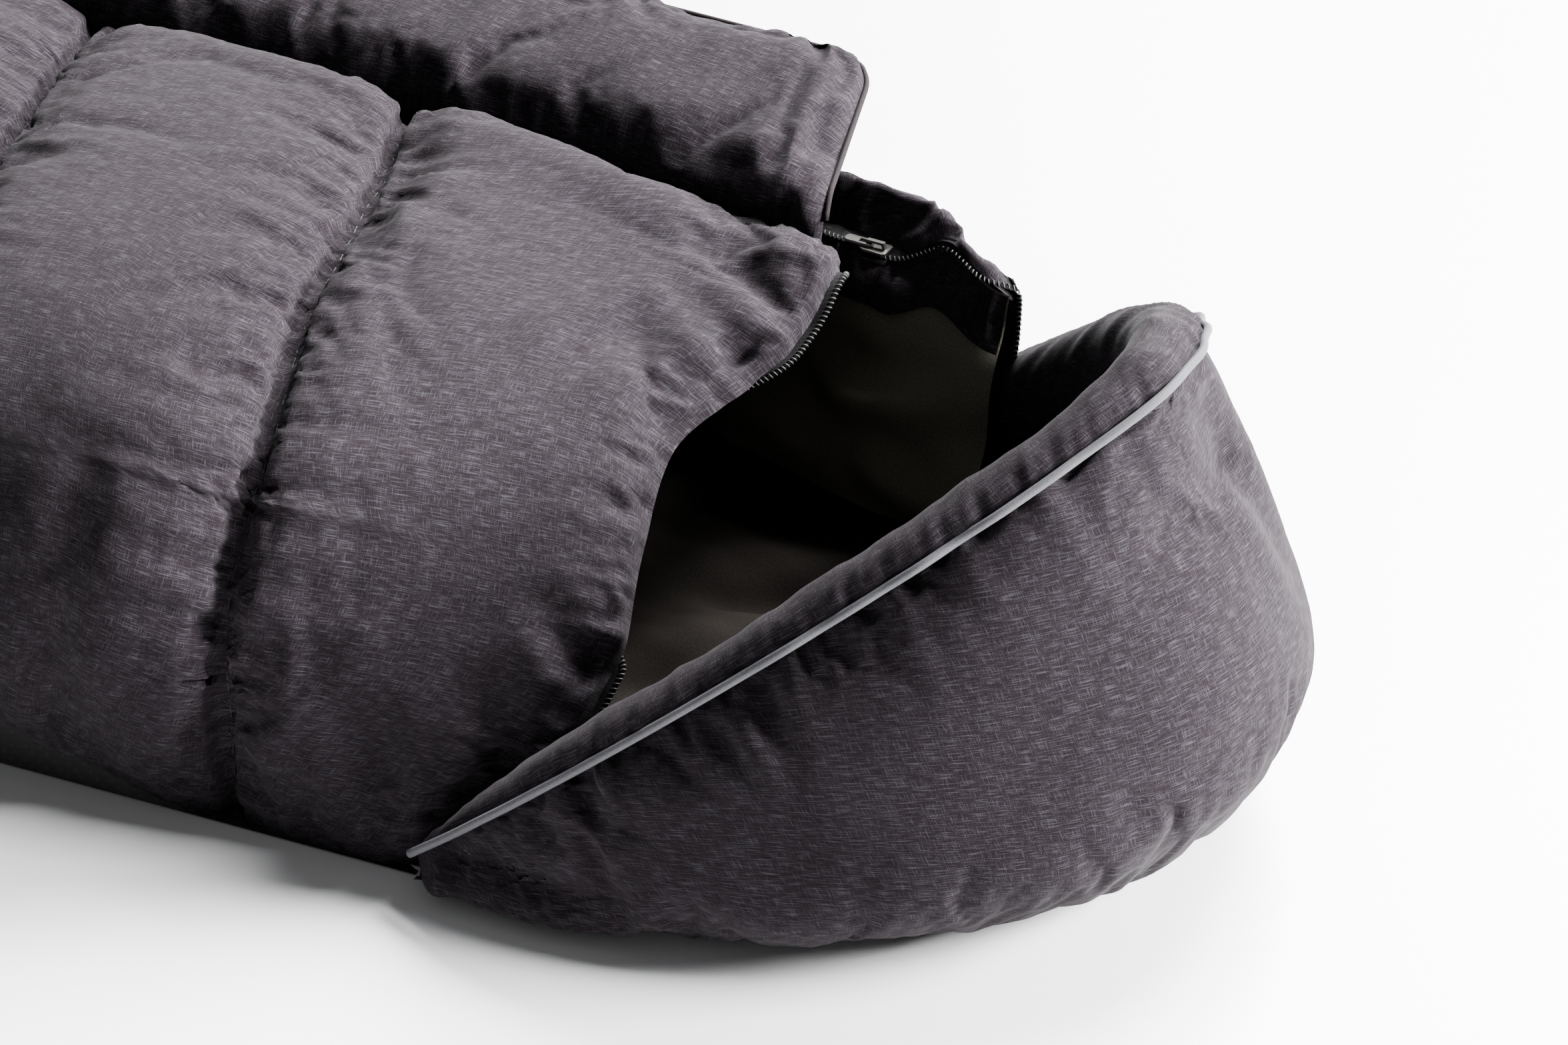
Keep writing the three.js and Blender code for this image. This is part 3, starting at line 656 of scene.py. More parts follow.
# ---- Cloth simulation: the outer cloths fill and wrinkle between their seams ----
CLOTH_EASE = -0.05  # the cloth is cut this much larger than its shape
SETTLE_FRAMES = 20


def joined_sheets(sheets):
    """All sheets as one mesh object, with the vertices that are held in the group pins."""
    points, faces, pins = [], [], []
    start = 0
    for grid, pinned, _ in sheets:
        points.append(grid.reshape(-1, 3))
        faces += grid_faces(*grid.shape[:2], start)
        pins.append(np.broadcast_to(pinned, grid.shape[:2]).ravel())
        start += grid.shape[0] * grid.shape[1]
    piece = mesh_piece("settling", np.concatenate(points), faces)
    group = piece.vertex_groups.new(name="pins")
    for i, weight in enumerate(np.concatenate(pins)):
        if weight > 0.01:
            group.add([i], float(weight), "REPLACE")
    return piece


def add_cloth(piece):
    """Light cloth, a little larger than its shape, filled by pressure and without weight."""
    cloth = piece.modifiers.new("cloth", "CLOTH")
    s = cloth.settings
    s.quality = 6
    s.mass = 0.02
    s.tension_stiffness = s.compression_stiffness = 12
    s.shear_stiffness = 6
    s.bending_stiffness = 0.04
    s.air_damping = 2
    s.shrink_min = CLOTH_EASE
    s.use_pressure = True
    s.uniform_pressure_force = 4
    s.vertex_group_mass = "pins"
    s.effector_weights.gravity = 0
    cloth.collision_settings.use_collision = False
    cloth.collision_settings.use_self_collision = False
    cloth.point_cache.frame_start = 1
    cloth.point_cache.frame_end = SETTLE_FRAMES


def settle(sheets):
    """Runs one cloth simulation over sheets, each (grid, pinned share, limit), and returns them."""
    piece = joined_sheets(sheets)
    add_cloth(piece)
    scene = bpy.context.scene
    for frame_number in range(1, SETTLE_FRAMES + 1):
        scene.frame_set(frame_number)
    evaluated = piece.evaluated_get(bpy.context.evaluated_depsgraph_get())
    co = np.zeros(len(piece.data.vertices) * 3)
    evaluated.data.vertices.foreach_get("co", co)
    co = co.reshape(-1, 3) / MM
    bpy.data.objects.remove(piece)
    scene.frame_set(1)
    settled, start = [], 0
    for grid, _, limit in sheets:
        count = grid.shape[0] * grid.shape[1]
        moved = co[start : start + count].reshape(grid.shape) - grid
        size = np.linalg.norm(moved, axis=-1, keepdims=True)
        settled.append(grid + moved * limit * np.tanh(size / limit) / np.maximum(size, 1e-6))
        start += count
    return settled


def pinned_near(distance, reach=7.0):
    """How firmly the cloth is held at a distance from a seam."""
    return clamp(1 - distance / reach) ** 1.5


cover_pins = np.maximum.reduce(
    [
        pinned_near(edge_distance(cover_start)),
        pinned_near(edge_distances(cover_start)[2], 18),
        pinned_near(np.abs(stitch_distance(cover_start)).min(axis=0)),
    ]
)
hood_ends = clamp(1.3 - arc(hood_start, 1)[:, -1:] / 90)
hood_pins = np.maximum(pinned_near(edge_distance(hood_start)), hood_ends)
sheets = [
    (cover_start, cover_pins, 9.0),
    (wall_start, pinned_near(edge_distance(wall_start)), 6.0),
    (hood_start, hood_pins, 6.0),
    (flap_side(1), pinned_near(edge_distance(flap_base)), 7.0),
    (flap_side(-1)[::-1], pinned_near(edge_distance(flap_base))[::-1], 7.0),
]
settled = settle(sheets)
cover_grid, wall_grid, hood_grid, flap_top, flap_low = [doubled(g) for g in settled]

# ---- Gathers and folds on the settled cloth ----
# Single folds, each from one point to another, with its depth and width.
PANEL_FOLDS = [
    ((-227, 99, 176), (-205, -4, 173), 3.0, 10),
    ((-80, 64, 150), (-38, 48, 137), 7.0, 9),
    ((-98, 10, 146), (-70, 60, 149), 4.5, 11),
    ((-108, -20, 142), (-86, 32, 146), 3.0, 12),
    ((-64, -90, 92), (-37, -102, 76), 7.0, 8),
    ((-80, -122, 70), (-58, -138, 44), 4.5, 9),
    ((-236, -145, 148), (-233, -178, 105), 4.0, 11),
    ((-130, -149, 72), (-102, -158, 32), 5.0, 11),
    ((-252, -182, 40), (-233, -180, 92), 4.0, 10),
    ((-175, -165, 40), (-160, -160, 80), 4.0, 12),
]
LINING_FOLDS = [
    ((-90, 128, 100), (0, 122, 78), 6.0, 10),
    ((-60, 126, 80), (30, 112, 100), 5.0, 9),
    ((-30, 120, 60), (30, 106, 46), 6.0, 10),
    ((-120, 130, 70), (-40, 120, 50), 6.0, 12),
]
BACK_FOLDS = [
    ((-90, -70, 32), (20, 10, 32), 7.0, 13),
    ((-60, -100, 32), (10, -60, 32), 6.0, 10),
    ((-110, 0, 32), (0, 60, 32), 6.0, 12),
    ((-40, 30, 32), (40, 80, 32), 6.0, 10),
    ((-150, -60, 32), (-60, 0, 32), 6.0, 14),
]
HOOD_FOLDS = [
    ((176, 25, 182), (203, 45, 105), 4.5, 10),
    ((186, 30, 160), (172, -45, 160), 3.0, 11),
    ((188, -82, 80), (218, -24, 84), 3.5, 10),
    ((-58, -171, 26), (4, -171, 24), 3.5, 7),
    ((36, -148, 78), (92, -147, 50), 1.8, 15),
]


def folds(grid, creases):
    return sum(fold(grid, *crease) for crease in creases)


def gathered_cover(grid):
    """The panel's cloth, gathered along its seams, with its single folds."""
    stitches = stitch_distance(grid)
    foot, head, near, far = edge_distances(grid)
    along, across = arc(grid, 0), arc(grid, 1)
    height = 1.0 * smooth_noise(grid.shape[:2], (8, 6), 3)
    height += 0.35 * smooth_noise(grid.shape[:2], (40, 26), 4)
    for k, distance in enumerate(stitches):
        height += puckers(distance, across, 0.9, 7, 6, 20 + k)
        height += puckers(distance, across, 0.9, 24, 16, 30 + k)
    height += puckers(head, across, 1.0, 15, 10, 41)
    height += puckers(far, along, 1.3, 19, 13, 42)
    height += puckers(foot, across, 1.5, 15, 11, 43)
    height += puckers(near, along, 2.6, 60, 26, 44) * smoothstep(-grid[..., 0], 120, 240)
    height -= 3.4 * np.exp(-((np.abs(stitches).min(axis=0) / 3.4) ** 2))
    return raised(grid, height + folds(grid, PANEL_FOLDS))


def gathered_wall(grid):
    near, far = edge_distances(grid)[2:]
    height = 1.2 * smooth_noise(grid.shape[:2], (24, 6), 5)
    height += puckers(far, arc(grid, 0), 0.9, 18, 12, 51)
    height += puckers(near, arc(grid, 0), 1.2, 18, 10, 52)
    return raised(grid, height)


def gathered_hood(grid):
    """The hood's cloth; its low ends keep the plain shape they had before settling."""
    settled_share = smoothstep(arc(grid, 1)[:, -1:], 20, 110)[..., None]
    grid = lerp(doubled(hood_start), grid, settled_share)
    far = edge_distances(grid)[3]
    height = 1.2 * smooth_noise(grid.shape[:2], (11, 6), 6) * clamp(far[:, :1] / 80)
    height += puckers(far, arc(grid, 0), 1.2, 22, 12, 61)
    return raised(grid, height + folds(grid, HOOD_FOLDS))


def gathered_flap(grid):
    length = arc(grid, 0)
    near, far = edge_distances(grid)[2:]
    height = 0.8 * smooth_noise(grid.shape[:2], (12, 4), 8)
    height += puckers(near, length + 0.3 * near, 0.9, 36, 30, 71)
    height += puckers(far, length, 1.2, 20, 9, 72)
    return raised(grid, height * clamp(edge_distance(grid) / 8))


cover_grid = gathered_cover(cover_grid)
wall_grid = gathered_wall(wall_grid)
hood_grid = gathered_hood(hood_grid)
flap_top = gathered_flap(flap_top)


# ---- Materials ----
class Nodes:
    """Shorthand for building one material's node tree."""

    def __init__(self, name):
        self.material = bpy.data.materials.new(name)
        self.material.use_nodes = True
        self.tree = self.material.node_tree
        self.tree.nodes.clear()
        self.out = self.add("ShaderNodeOutputMaterial")
        self.shader = self.add("ShaderNodeBsdfPrincipled")
        self.link(self.shader.outputs[0], self.out.inputs[0])

    def add(self, kind, **values):
        node = self.tree.nodes.new(kind)
        for key, value in values.items():
            setattr(node, key, value)
        return node

    def link(self, a, b):
        self.tree.links.new(a, b)

    def mapped(self, scale, offset=(0, 0, 0), turn=0.0, source="UV"):
        place = self.add("ShaderNodeTexCoord")
        mapping = self.add("ShaderNodeMapping")
        self.link(place.outputs[source], mapping.inputs["Vector"])
        mapping.inputs["Scale"].default_value = scale
        mapping.inputs["Location"].default_value = offset
        mapping.inputs["Rotation"].default_value = (0, 0, turn)
        return mapping.outputs["Vector"]

    def noise(self, vector, scale=1.0, detail=2.0, roughness=0.5):
        node = self.add("ShaderNodeTexNoise")
        node.inputs["Scale"].default_value = scale
        node.inputs["Detail"].default_value = detail
        node.inputs["Roughness"].default_value = roughness
        self.link(vector, node.inputs["Vector"])
        return node.outputs[0]

    def ranged(self, value, low, high, to_low=0.0, to_high=1.0):
        node = self.add("ShaderNodeMapRange", clamp=True)
        limits = {"From Min": low, "From Max": high, "To Min": to_low, "To Max": to_high}
        for key, number in limits.items():
            node.inputs[key].default_value = number
        self.link(value, node.inputs["Value"])
        return node.outputs[0]

    def mixed(self, factor, a, b, blend="MIX"):
        node = self.add("ShaderNodeMix", data_type="RGBA", blend_type=blend)
        for value, index in ((factor, 0), (a, 6), (b, 7)):
            if isinstance(value, (int, float)):
                node.inputs[index].default_value = value
            elif isinstance(value, tuple):
                node.inputs[index].default_value = (*value, 1)
            else:
                self.link(value, node.inputs[index])
        return node.outputs[2]

    def bump(self, height, strength, distance):
        node = self.add("ShaderNodeBump")
        node.inputs["Strength"].default_value = strength
        node.inputs["Distance"].default_value = distance
        self.link(height, node.inputs["Height"])
        self.link(node.outputs[0], self.shader.inputs["Normal"])

    def set(self, **values):
        for key, value in values.items():
            self.shader.inputs[key.replace("_", " ").title()].default_value = value

    def specular(self, level):
        self.shader.inputs["Specular IOR Level"].default_value = level


CLOTH_SPECULAR = 0.04


def melange(name, base, light, dark, contrast=1.0):
    """Heathered cloth: long light and dark yarn streaks along it and finer ones across."""
    n = Nodes(name)
    pale = n.noise(n.mapped((130, 2900, 1)), detail=2)
    deep = n.noise(n.mapped((100, 2300, 1), (3, 7, 0)), detail=3)
    cross = n.noise(n.mapped((2900, 190, 1), (9, 2, 0)), detail=2)
    tone = n.noise(n.mapped((40, 70, 1), (5, 5, 0)), detail=4)
    color = n.mixed(n.ranged(tone, 0.3, 0.7, 0.0, 0.5), base, tuple(c * 0.78 for c in base))
    color = n.mixed(n.ranged(deep, 0.5, 0.72, 0.0, 0.75 * contrast), color, dark)
    color = n.mixed(n.ranged(pale, 0.52, 0.7, 0.0, 0.62 * contrast), color, light)
    color = n.mixed(n.ranged(cross, 0.54, 0.72, 0.0, 0.42 * contrast), color, light)
    n.link(color, n.shader.inputs["Base Color"])
    n.set(roughness=0.9, sheen_weight=0.03, sheen_roughness=0.5)
    n.specular(CLOTH_SPECULAR)
    weave = n.noise(n.mapped((1500, 1500, 1)), detail=1)
    n.bump(weave, 0.35, 0.0004)
    return n.material


def woven(name, base, other, scale=900, bump=0.3, roughness=0.85):
    """Plain cloth of two close colours, with a fine weave and a broad unevenness."""
    n = Nodes(name)
    fine = n.noise(n.mapped((scale, scale, 1)), detail=2)
    broad = n.noise(n.mapped((20, 20, 1), (4, 1, 0)), detail=3)
    color = n.mixed(n.ranged(fine, 0.35, 0.65), base, other)
    color = n.mixed(n.ranged(broad, 0.35, 0.65, 0, 0.35), color, other)
    n.link(color, n.shader.inputs["Base Color"])
    n.set(roughness=roughness)
    n.specular(CLOTH_SPECULAR)
    n.bump(fine, bump, 0.0004)
    return n.material


def dotted(name, base, dot):
    """Cloth with a lattice of small raised dots."""
    n = Nodes(name)
    cells = n.add("ShaderNodeTexVoronoi")
    cells.inputs["Scale"].default_value = 1.0
    cells.inputs["Randomness"].default_value = 0.0
    n.link(n.mapped((210, 210, 1), turn=0.6), cells.inputs["Vector"])
    spot = n.ranged(cells.outputs["Distance"], 0.22, 0.3, 1, 0)
    fine = n.noise(n.mapped((900, 900, 1)), detail=2)
    cloth = n.mixed(n.ranged(fine, 0.35, 0.65), base, tuple(c * 0.6 for c in base))
    n.link(n.mixed(spot, cloth, dot), n.shader.inputs["Base Color"])
    n.set(roughness=0.7)
    n.bump(spot, 0.5, 0.0005)
    return n.material


def smooth_stuff(name, base, roughness, metallic=0.0, scale=400, specular=0.5, shade=0.75):
    """Metal, nylon, thread or floor: one colour with a slight grain."""
    n = Nodes(name)
    grain = n.noise(n.mapped((scale, scale, scale), source="Object"), detail=2)
    color = n.mixed(n.ranged(grain, 0.3, 0.7), base, tuple(c * shade for c in base))
    n.link(color, n.shader.inputs["Base Color"])
    n.set(roughness=roughness, metallic=metallic)
    n.specular(specular)
    return n.material


OUTER = melange(
    "outer_cloth", (0.0118, 0.0088, 0.0110), (0.062, 0.058, 0.068), (0.0046, 0.0029, 0.0037)
)
# The inside melange: a copy of the outer melange with a lighter base and softer streaks. The lighter
# base is painted light, standing in for light that does not reach the shaded inside of the hood and the
# ear.
LIGHTENED_MELANGE = melange(
    "melange_lightened_for_shade", (0.0130, 0.0098, 0.0120), (0.055, 0.050, 0.058), (0.0052, 0.0034, 0.0042)
)
# The lining's colour is several times lighter than the dark lining cloth: painted light, standing in
# for light that does not reach the shaded inside walls.
LINING_LIGHTENED = woven("lining_cloth", (0.086, 0.083, 0.066), (0.124, 0.120, 0.096))
FLOOR_LINING = woven("back_lining_cloth", (0.0132, 0.0112, 0.0098), (0.0205, 0.0175, 0.0153))
UNDER = dotted("underside_cloth", (0.006, 0.005, 0.0054), (0.013, 0.0112, 0.012))
PIPING = woven("piping_cloth", (0.07, 0.07, 0.076), (0.1, 0.1, 0.108), 1200, 0.2, 0.5)
# The flap's piping is light grey like the hood's piping. Its dark colour here is painted shade, for the
# shade along the flap's edge.
EDGING_DARKENED = woven("flap_piping_darkened_for_shade", (0.012, 0.0095, 0.0105), (0.02, 0.017, 0.0185), 1200, 0.2, 0.7)
TAPE = woven("zip_tape_cloth", (0.006, 0.0055, 0.006), (0.01, 0.0095, 0.01), 1500, 0.5, 0.8)
COIL = smooth_stuff("zip_coil_nylon", (0.02, 0.02, 0.021), 0.45, specular=0.25)
THREAD = smooth_stuff("thread", (0.006, 0.0055, 0.0065), 0.7)
METAL = smooth_stuff("slider_metal", (0.2, 0.19, 0.18), 0.3, 1.0)
LABEL = smooth_stuff("label_cloth", (0.75, 0.73, 0.7), 0.8)


def dress(piece, body, slot, mat, *replaced):
    """Gives a piece its finish, hangs it from its body's empty when the body is a name (else bakes its
    placement in), and hides the CAD nodes that it stands for. Its slot is not used.
    """
    piece.data.materials.append(mat)
    if isinstance(body, str):
        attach(piece, body)
    else:
        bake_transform(piece)
    if replaced:
        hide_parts(*replaced)
    return piece


FOLD_POINT = Vector((-300, -half_width(-300) - 3, HINGE_HEIGHT - 26)) * MM
FOLD = (FOLD_POINT, FOLD_POINT + Vector((-2.5, 36.9, 56)) * MM)

# ---- Pieces: panel, near wall and their lining ----
def lining_depth(grid, shallow, deep, reach):
    """How far the lining lies below a cloth: deep inside it, shallow near its seams."""
    return shallow + (deep - shallow) * (1 - seam_dip(edge_distance(grid), 1, reach))


piece = grid_piece("panel_cloth", cover_grid, flat=doubled(cover_base))
dress(
    piece, FOLD, "melange_cloth", OUTER,
    "near_wall_outer", "near_wall_wadding", "front_panel_outer", "front_panel_wadding",
)
inside = cover_base[::2, ::2]
inside = raised(inside, -lining_depth(inside, 15, COVER_THICKNESS, 40))
piece = grid_piece("panel_lining", doubled(inside), flip=True)
# The panel's lining takes the lightened lining colour: painted light.
dress(piece, FOLD, "lining_cloth", LINING_LIGHTENED, "near_wall_lining", "front_panel_lining")

# ---- Pieces: walls ----
piece = grid_piece("wall_cloth", wall_grid, flat=doubled(wall_base))
dress(
    piece, "bag", "melange_cloth", OUTER,
    "foot_wall_outer", "foot_wall_wadding", "far_wall_outer", "far_wall_wadding",
)
wall_inside = doubled(section_grid(wall_inner_surface, wall_along[::-1], 32)[0])
below_zip = edge_distances(wall_inside)[3]
height = 3.6 * smooth_noise(wall_inside.shape[:2], (26, 4), 12)
height += 1.8 * smooth_noise(wall_inside.shape[:2], (60, 9), 13)
height = (height + folds(wall_inside, LINING_FOLDS)) * clamp(below_zip / 8)
wall_inside_height = height
piece = grid_piece("wall_lining", raised(wall_inside, height), flip=True)
# The wall's lining takes the lightened lining colour: painted light.
dress(piece, "bag", "lining_cloth", LINING_LIGHTENED, "foot_wall_lining", "far_wall_lining")

EAR_GATHERS_X = -110  # where the gathered strip starts
EAR_GATHERS_DEPTH = 27  # how far below the zip it reaches


def ear_gathers():
    """A gathered strip of the outer cloth below the ear's zip, inside."""
    count = int((wall_inside[:, -1, 0] > EAR_GATHERS_X).sum())
    sheet = raised(wall_inside[:count], wall_inside_height[:count] - 2.0)
    share = np.linspace(0, 1, 24)
    lines = [
        [np.interp(share * EAR_GATHERS_DEPTH, down[::-1], line[::-1, k]) for k in range(3)]
        for down, line in zip(below_zip[:count], sheet)
    ]
    sheet = np.moveaxis(np.array(lines), 1, 2)
    run = arc(sheet, 0)
    height = 1.5 * waves(run, 8, 121) * np.sin(math.pi * clamp(share + 0.08))[None]
    height += 1.2 * waves(run + 6 * share[None], 21, 122) * share[None]
    return grid_piece("ear_gathers", raised(sheet, height))


# The ear's gathered outer cloth takes the lightened inside melange: painted light for its shaded inside
# face.
dress(ear_gathers(), "bag", "melange_cloth", LIGHTENED_MELANGE)

# ---- Pieces: hood ----
piece = grid_piece("hood_cloth", hood_grid, flat=doubled(hood_base))
dress(piece, "bag", "melange_cloth", OUTER, "hood_outer", "hood_wadding")


def hood_inside():
    """The hood's inner cloth, gathered towards the rim by the elastic."""
    grid = doubled(raised(hood_base, -lining_depth(hood_base, 10, 20, 34)))
    below_rim = edge_distances(grid)[3]
    height = 2.5 * smooth_noise(grid.shape[:2], (26, 6), 14)
    height += puckers(below_rim, arc(grid, 0), 5.0, 26, 34, 91)
    return raised(grid, height * clamp(below_rim / 6))


piece = grid_piece("hood_inside_cloth", hood_inside(), flip=True)
# The hood's inner cloth takes the lightened inside melange: painted light.
dress(piece, "bag", "melange_cloth", LIGHTENED_MELANGE, "hood_lining")

rim_path = rim_points(even_along(rim_points, 460, (0.012, 0.988)))
rim_along = unit(np.gradient(rim_path, axis=0))
rim_side = unit(np.cross(rim_along, [0, 0, 1]))
rim_up = np.cross(rim_side, rim_along)
# The padded roll's section, outwards and upwards from the rim.
ROLL = np.array([(4, -1), (3, 3), (-2, 7), (-9, 8), (-17, 6), (-23, -1), (-26, -11), (-26, -26)], float)


def rim_sheet(section, columns):
    """A sheet swept along the rim, smaller towards its two ends."""
    line = np.concatenate([section, np.zeros((len(section), 1))], axis=1)
    across = np.linspace(0, 1, columns)
    line = spline(np.broadcast_to(line, (columns,) + line.shape), across)
    s = arc(rim_path[:, None], 0)[:, 0]
    size = clamp(np.minimum(s, s[-1] - s) / 70 + 0.2)[:, None, None]
    return (
        rim_path[:, None]
        + rim_side[:, None] * line[None, :, :1] * size
        + rim_up[:, None] * line[None, :, 1:2] * size
    )


roll = rim_sheet(ROLL, 26)
length, width = arc(roll, 0), arc(roll, 1)
height = 0.45 * waves(length + 0.5 * width, 21, 101) * np.sin(math.pi * width / width[:, -1:])
height += 1.1 * smooth_noise(roll.shape[:2], (30, 3), 15)
height += puckers(width, length, 0.6, 11, 6, 102)
piece = grid_piece("rim_roll", raised(roll, -height * clamp(width / 4)), flip=True)
dress(piece, "bag", "melange_cloth", OUTER, "hood_rim_roll", "hood_elastic")
wobble = 0.8 * waves(length[:, 0], 37, 103)
path = rim_path + rim_side * (5.2 + wobble)[:, None] + rim_up * (1.8 + 0.6 * wobble)[:, None]
dress(tube("rim_piping", even(path, 3), 1.8), "bag", "piping", PIPING, "hood_piping")


# ---- Pieces: wind flap ----
def closed_shell(name, top, low):
    """Two sheets over one another, joined round their edges into one closed piece."""
    nu, nv = top.shape[:2]
    middle = (top + low) / 2
    edge = np.ones((nu, nv), bool)
    edge[1:-1, 1:-1] = False
    top = np.where(edge[..., None], middle, top)
    index = np.arange(nu * nv).reshape(nu, nv)
    low_index = np.where(edge, index, 0)
    low_index[~edge] = nu * nv + np.arange((~edge).sum())

    def quads(k):
        corners = [k[:-1, :-1], k[1:, :-1], k[1:, 1:], k[:-1, 1:]]
        return np.stack(corners, axis=-1).reshape(-1, 4)

    points = np.concatenate([top.reshape(-1, 3), low[~edge]])
    flat = doubled(flap_base)
    uv = np.stack([arc(flat, 0), arc(flat, 1)], axis=-1)
    uv = np.concatenate([uv.reshape(-1, 2), uv[~edge]])
    faces = quads(index).tolist() + quads(low_index)[:, ::-1].tolist()
    return mesh_piece(name, points, faces, uv)


flap_low = flap_low[::-1]
piece = closed_shell("flap_cloth", flap_top, flap_low)
dress(
    piece, "wind_flap", "melange_cloth", OUTER,
    "wind_flap_outer", "wind_flap_wadding", "wind_flap_lining",
)
rim = (flap_top + flap_low) / 2
path = np.concatenate([rim[0, 2:], rim[1:-1, -1], rim[-1, ::-1][:-2]])
outward = unit(path - rim[len(rim) // 2, rim.shape[1] // 2])
piece = tube("flap_edging", even(path + outward * 0.9, 3), 1.4, 8)
# The flap's piping takes the darkened piping colour: painted shade.
dress(piece, "wind_flap", "piping", EDGING_DARKENED, "flap_piping")


# ---- Pieces: underside and inside floors ----
def floor_sheet(near_line, far_line, columns, z, lift=0.0):
    """A nearly flat sheet between two edge lines, rising by lift at its edges."""
    k = np.linspace(0, 1, columns)
    grid = lerp(near_line[:, None], far_line[:, None], k[None, :, None])
    grid[..., 2] = z + lift * (2 * np.abs(k - 0.5))[None] ** 4
    return grid


def body_sides(inset, end=NECK_X - 1, count=150):
    """The bag's near and far edges in plan, from the foot's end towards the hood."""
    angles = np.linspace(0, math.pi / 2, count)
    xs = np.linspace(FOOT_X, end, count)[1:]
    sides = []
    for side in (-1, 1):
        straight = vec(xs, side * (half_width(xs) - inset), 0)
        sides.append(np.concatenate([foot_outline(side * angles, inset), straight]))
    return sides


def hood_sides(inset, count=150):
    angles = np.linspace(math.pi / 2, 0, count)
    size = (HOOD_FLOOR_LENGTH - inset, HOOD_FLOOR_WIDTH - inset, FLOOR_ROUNDNESS)
    return [hood_outline(side * angles, *size) for side in (-1, 1)]


piece = grid_piece("body_underside", floor_sheet(*body_sides(9), 40, 1.2), flip=True)
dress(piece, "bag", "underside_cloth", UNDER, "underside_panel")
piece = grid_piece("hood_base", floor_sheet(*hood_sides(3), 40, 1.2), flip=True)
dress(piece, "bag", "underside_cloth", UNDER, "hood_underside")


def joined_to(wrap, edge):
    """The strip below a cloth's lower seam, moved so that its top line meets the seam."""
    wrap = doubled(wrap)
    share = np.linspace(0, 1, wrap.shape[1])[None, :, None]
    return wrap + (edge - wrap[:, -1])[:, None] * share


wraps = [("panel", cover_wrap, cover_grid[:, 0]), ("wall", wall_wrap, wall_grid[:, 0])]
for name, wrap, edge in wraps:
    piece = grid_piece(name + "_underwrap", joined_to(wrap, edge))
    dress(piece, "bag", "underside_cloth", UNDER)

back = floor_sheet(*body_sides(26, 46), 90, MAT_TOP + 5, lift=20)
height = 4.5 * smooth_noise(back.shape[:2], (16, 9), 16)
height += 2.0 * smooth_noise(back.shape[:2], (44, 24), 17)
height -= 5 * np.exp(-np.abs(stitch_distance(back)).min(axis=0) / 9)
back[..., 2] += height + folds(back, BACK_FOLDS)
piece = grid_piece("back_pad", doubled(back))
dress(piece, "bag", "lining_cloth", FLOOR_LINING, "back_wadding", "back_lining")

head_rest = floor_sheet(*hood_sides(26), 90, MAT_TOP + 1, lift=22)
height = 6 * smooth_noise(head_rest.shape[:2], (12, 10), 18)
height += 2 * smooth_noise(head_rest.shape[:2], (30, 24), 19)
head_rest[..., 2] += height + 22 * smoothstep(head_rest[..., 0], 26, 90) - 12
piece = grid_piece("hood_pad", doubled(head_rest))
# The hood pad takes the lightened inside melange: painted light.
dress(piece, "bag", "melange_cloth", LIGHTENED_MELANGE, "hood_mat_wadding", "hood_mat_lining")


# ---- Pieces: zips ----
COIL_PITCH = 2.3
COIL_STEPS = 10  # points on each turn of the coil
TAPE_STEP = 2.0
TAPE_TUCK = 3  # how far the tape goes under its cloth
# From the coil to the cloth where the zip is open: at the neck, on the ear's top and down its end.
HEAD_GAP = 6.0
EAR_TOP_GAP = 5
EAR_END_GAP = 4.0
# Stretches of the neck edge, in its points, whose zip is the panel's and the near wall's.
PANEL_STRETCH = slice(3, 150)
NEAR_STRETCH = slice(148, 182)


def zip_frames(path, outward):
    """Directions square to a zip: towards its cloth, and out of its face."""
    along = unit(np.gradient(path, axis=0))
    out = unit(outward - along * (outward * along).sum(-1, keepdims=True))
    return out, np.cross(along, out)


def resampled(spacing, path, *others):
    """A path and what goes with its points, at an even spacing."""
    s = np.concatenate([[0], np.cumsum(np.linalg.norm(np.diff(path, axis=0), axis=1))])
    at = np.linspace(0, s[-1], int(s[-1] / spacing) + 2)
    return [np.stack([np.interp(at, s, a[:, k]) for k in range(3)], axis=1) for a in (path, *others)]


def coil(name, path, outward):
    """A zip's coil: a flattened spiral of nylon on its tape's edge."""
    path, outward = resampled(COIL_PITCH / COIL_STEPS, path, outward)
    out, up = zip_frames(path, outward)
    turn = (np.arange(len(path)) * 2 * math.pi / COIL_STEPS)[:, None]
    line = path + out * (COIL_OFFSET + 1.15 * np.cos(turn)) + up * np.sin(turn)
    return tube(name, line, 0.42, 5)


def tape(name, path, outward, reach):
    """A zip's tape: a slightly rippled strip from the coil to below the cloth."""
    reach = np.broadcast_to(reach, len(path))[:, None] + np.zeros((1, 3))
    path, outward, reach = resampled(TAPE_STEP, path, outward, reach)
    out, up = zip_frames(path, outward)
    ripple = 0.3 * waves(np.arange(len(path)) * TAPE_STEP, 14, 7)[:, None] * up
    edges = [path + (out * o + ripple * 0.1 * o) * reach - up * 0.3 for o in (0.1, 0.5, 1)]
    return grid_piece(name, np.stack(edges, axis=1))


def smoothed(path, times=6):
    """The same path with its sharp turns rounded off."""
    for _ in range(times):
        path = np.concatenate([path[:1], (path[:-2] + 2 * path[1:-1] + path[2:]) / 4, path[-1:]])
    return path


def zip_along(name, edge, outward, gap, body):
    """Tape and coil beside a cloth edge; outward points from the coil to the cloth."""
    gap = np.broadcast_to(gap, len(edge))
    centre = smoothed(edge - unit(outward) * gap[:, None])
    outward = smoothed(unit(outward))
    strip = tape(name + "_tape_strip", centre, outward, gap + TAPE_TUCK)
    dress(strip, body, "zip_tape", TAPE, name + "_zip_tape")
    dress(coil(name + "_coil_line", centre, outward), body, "zip_coil", COIL, name + "_zip_coil")


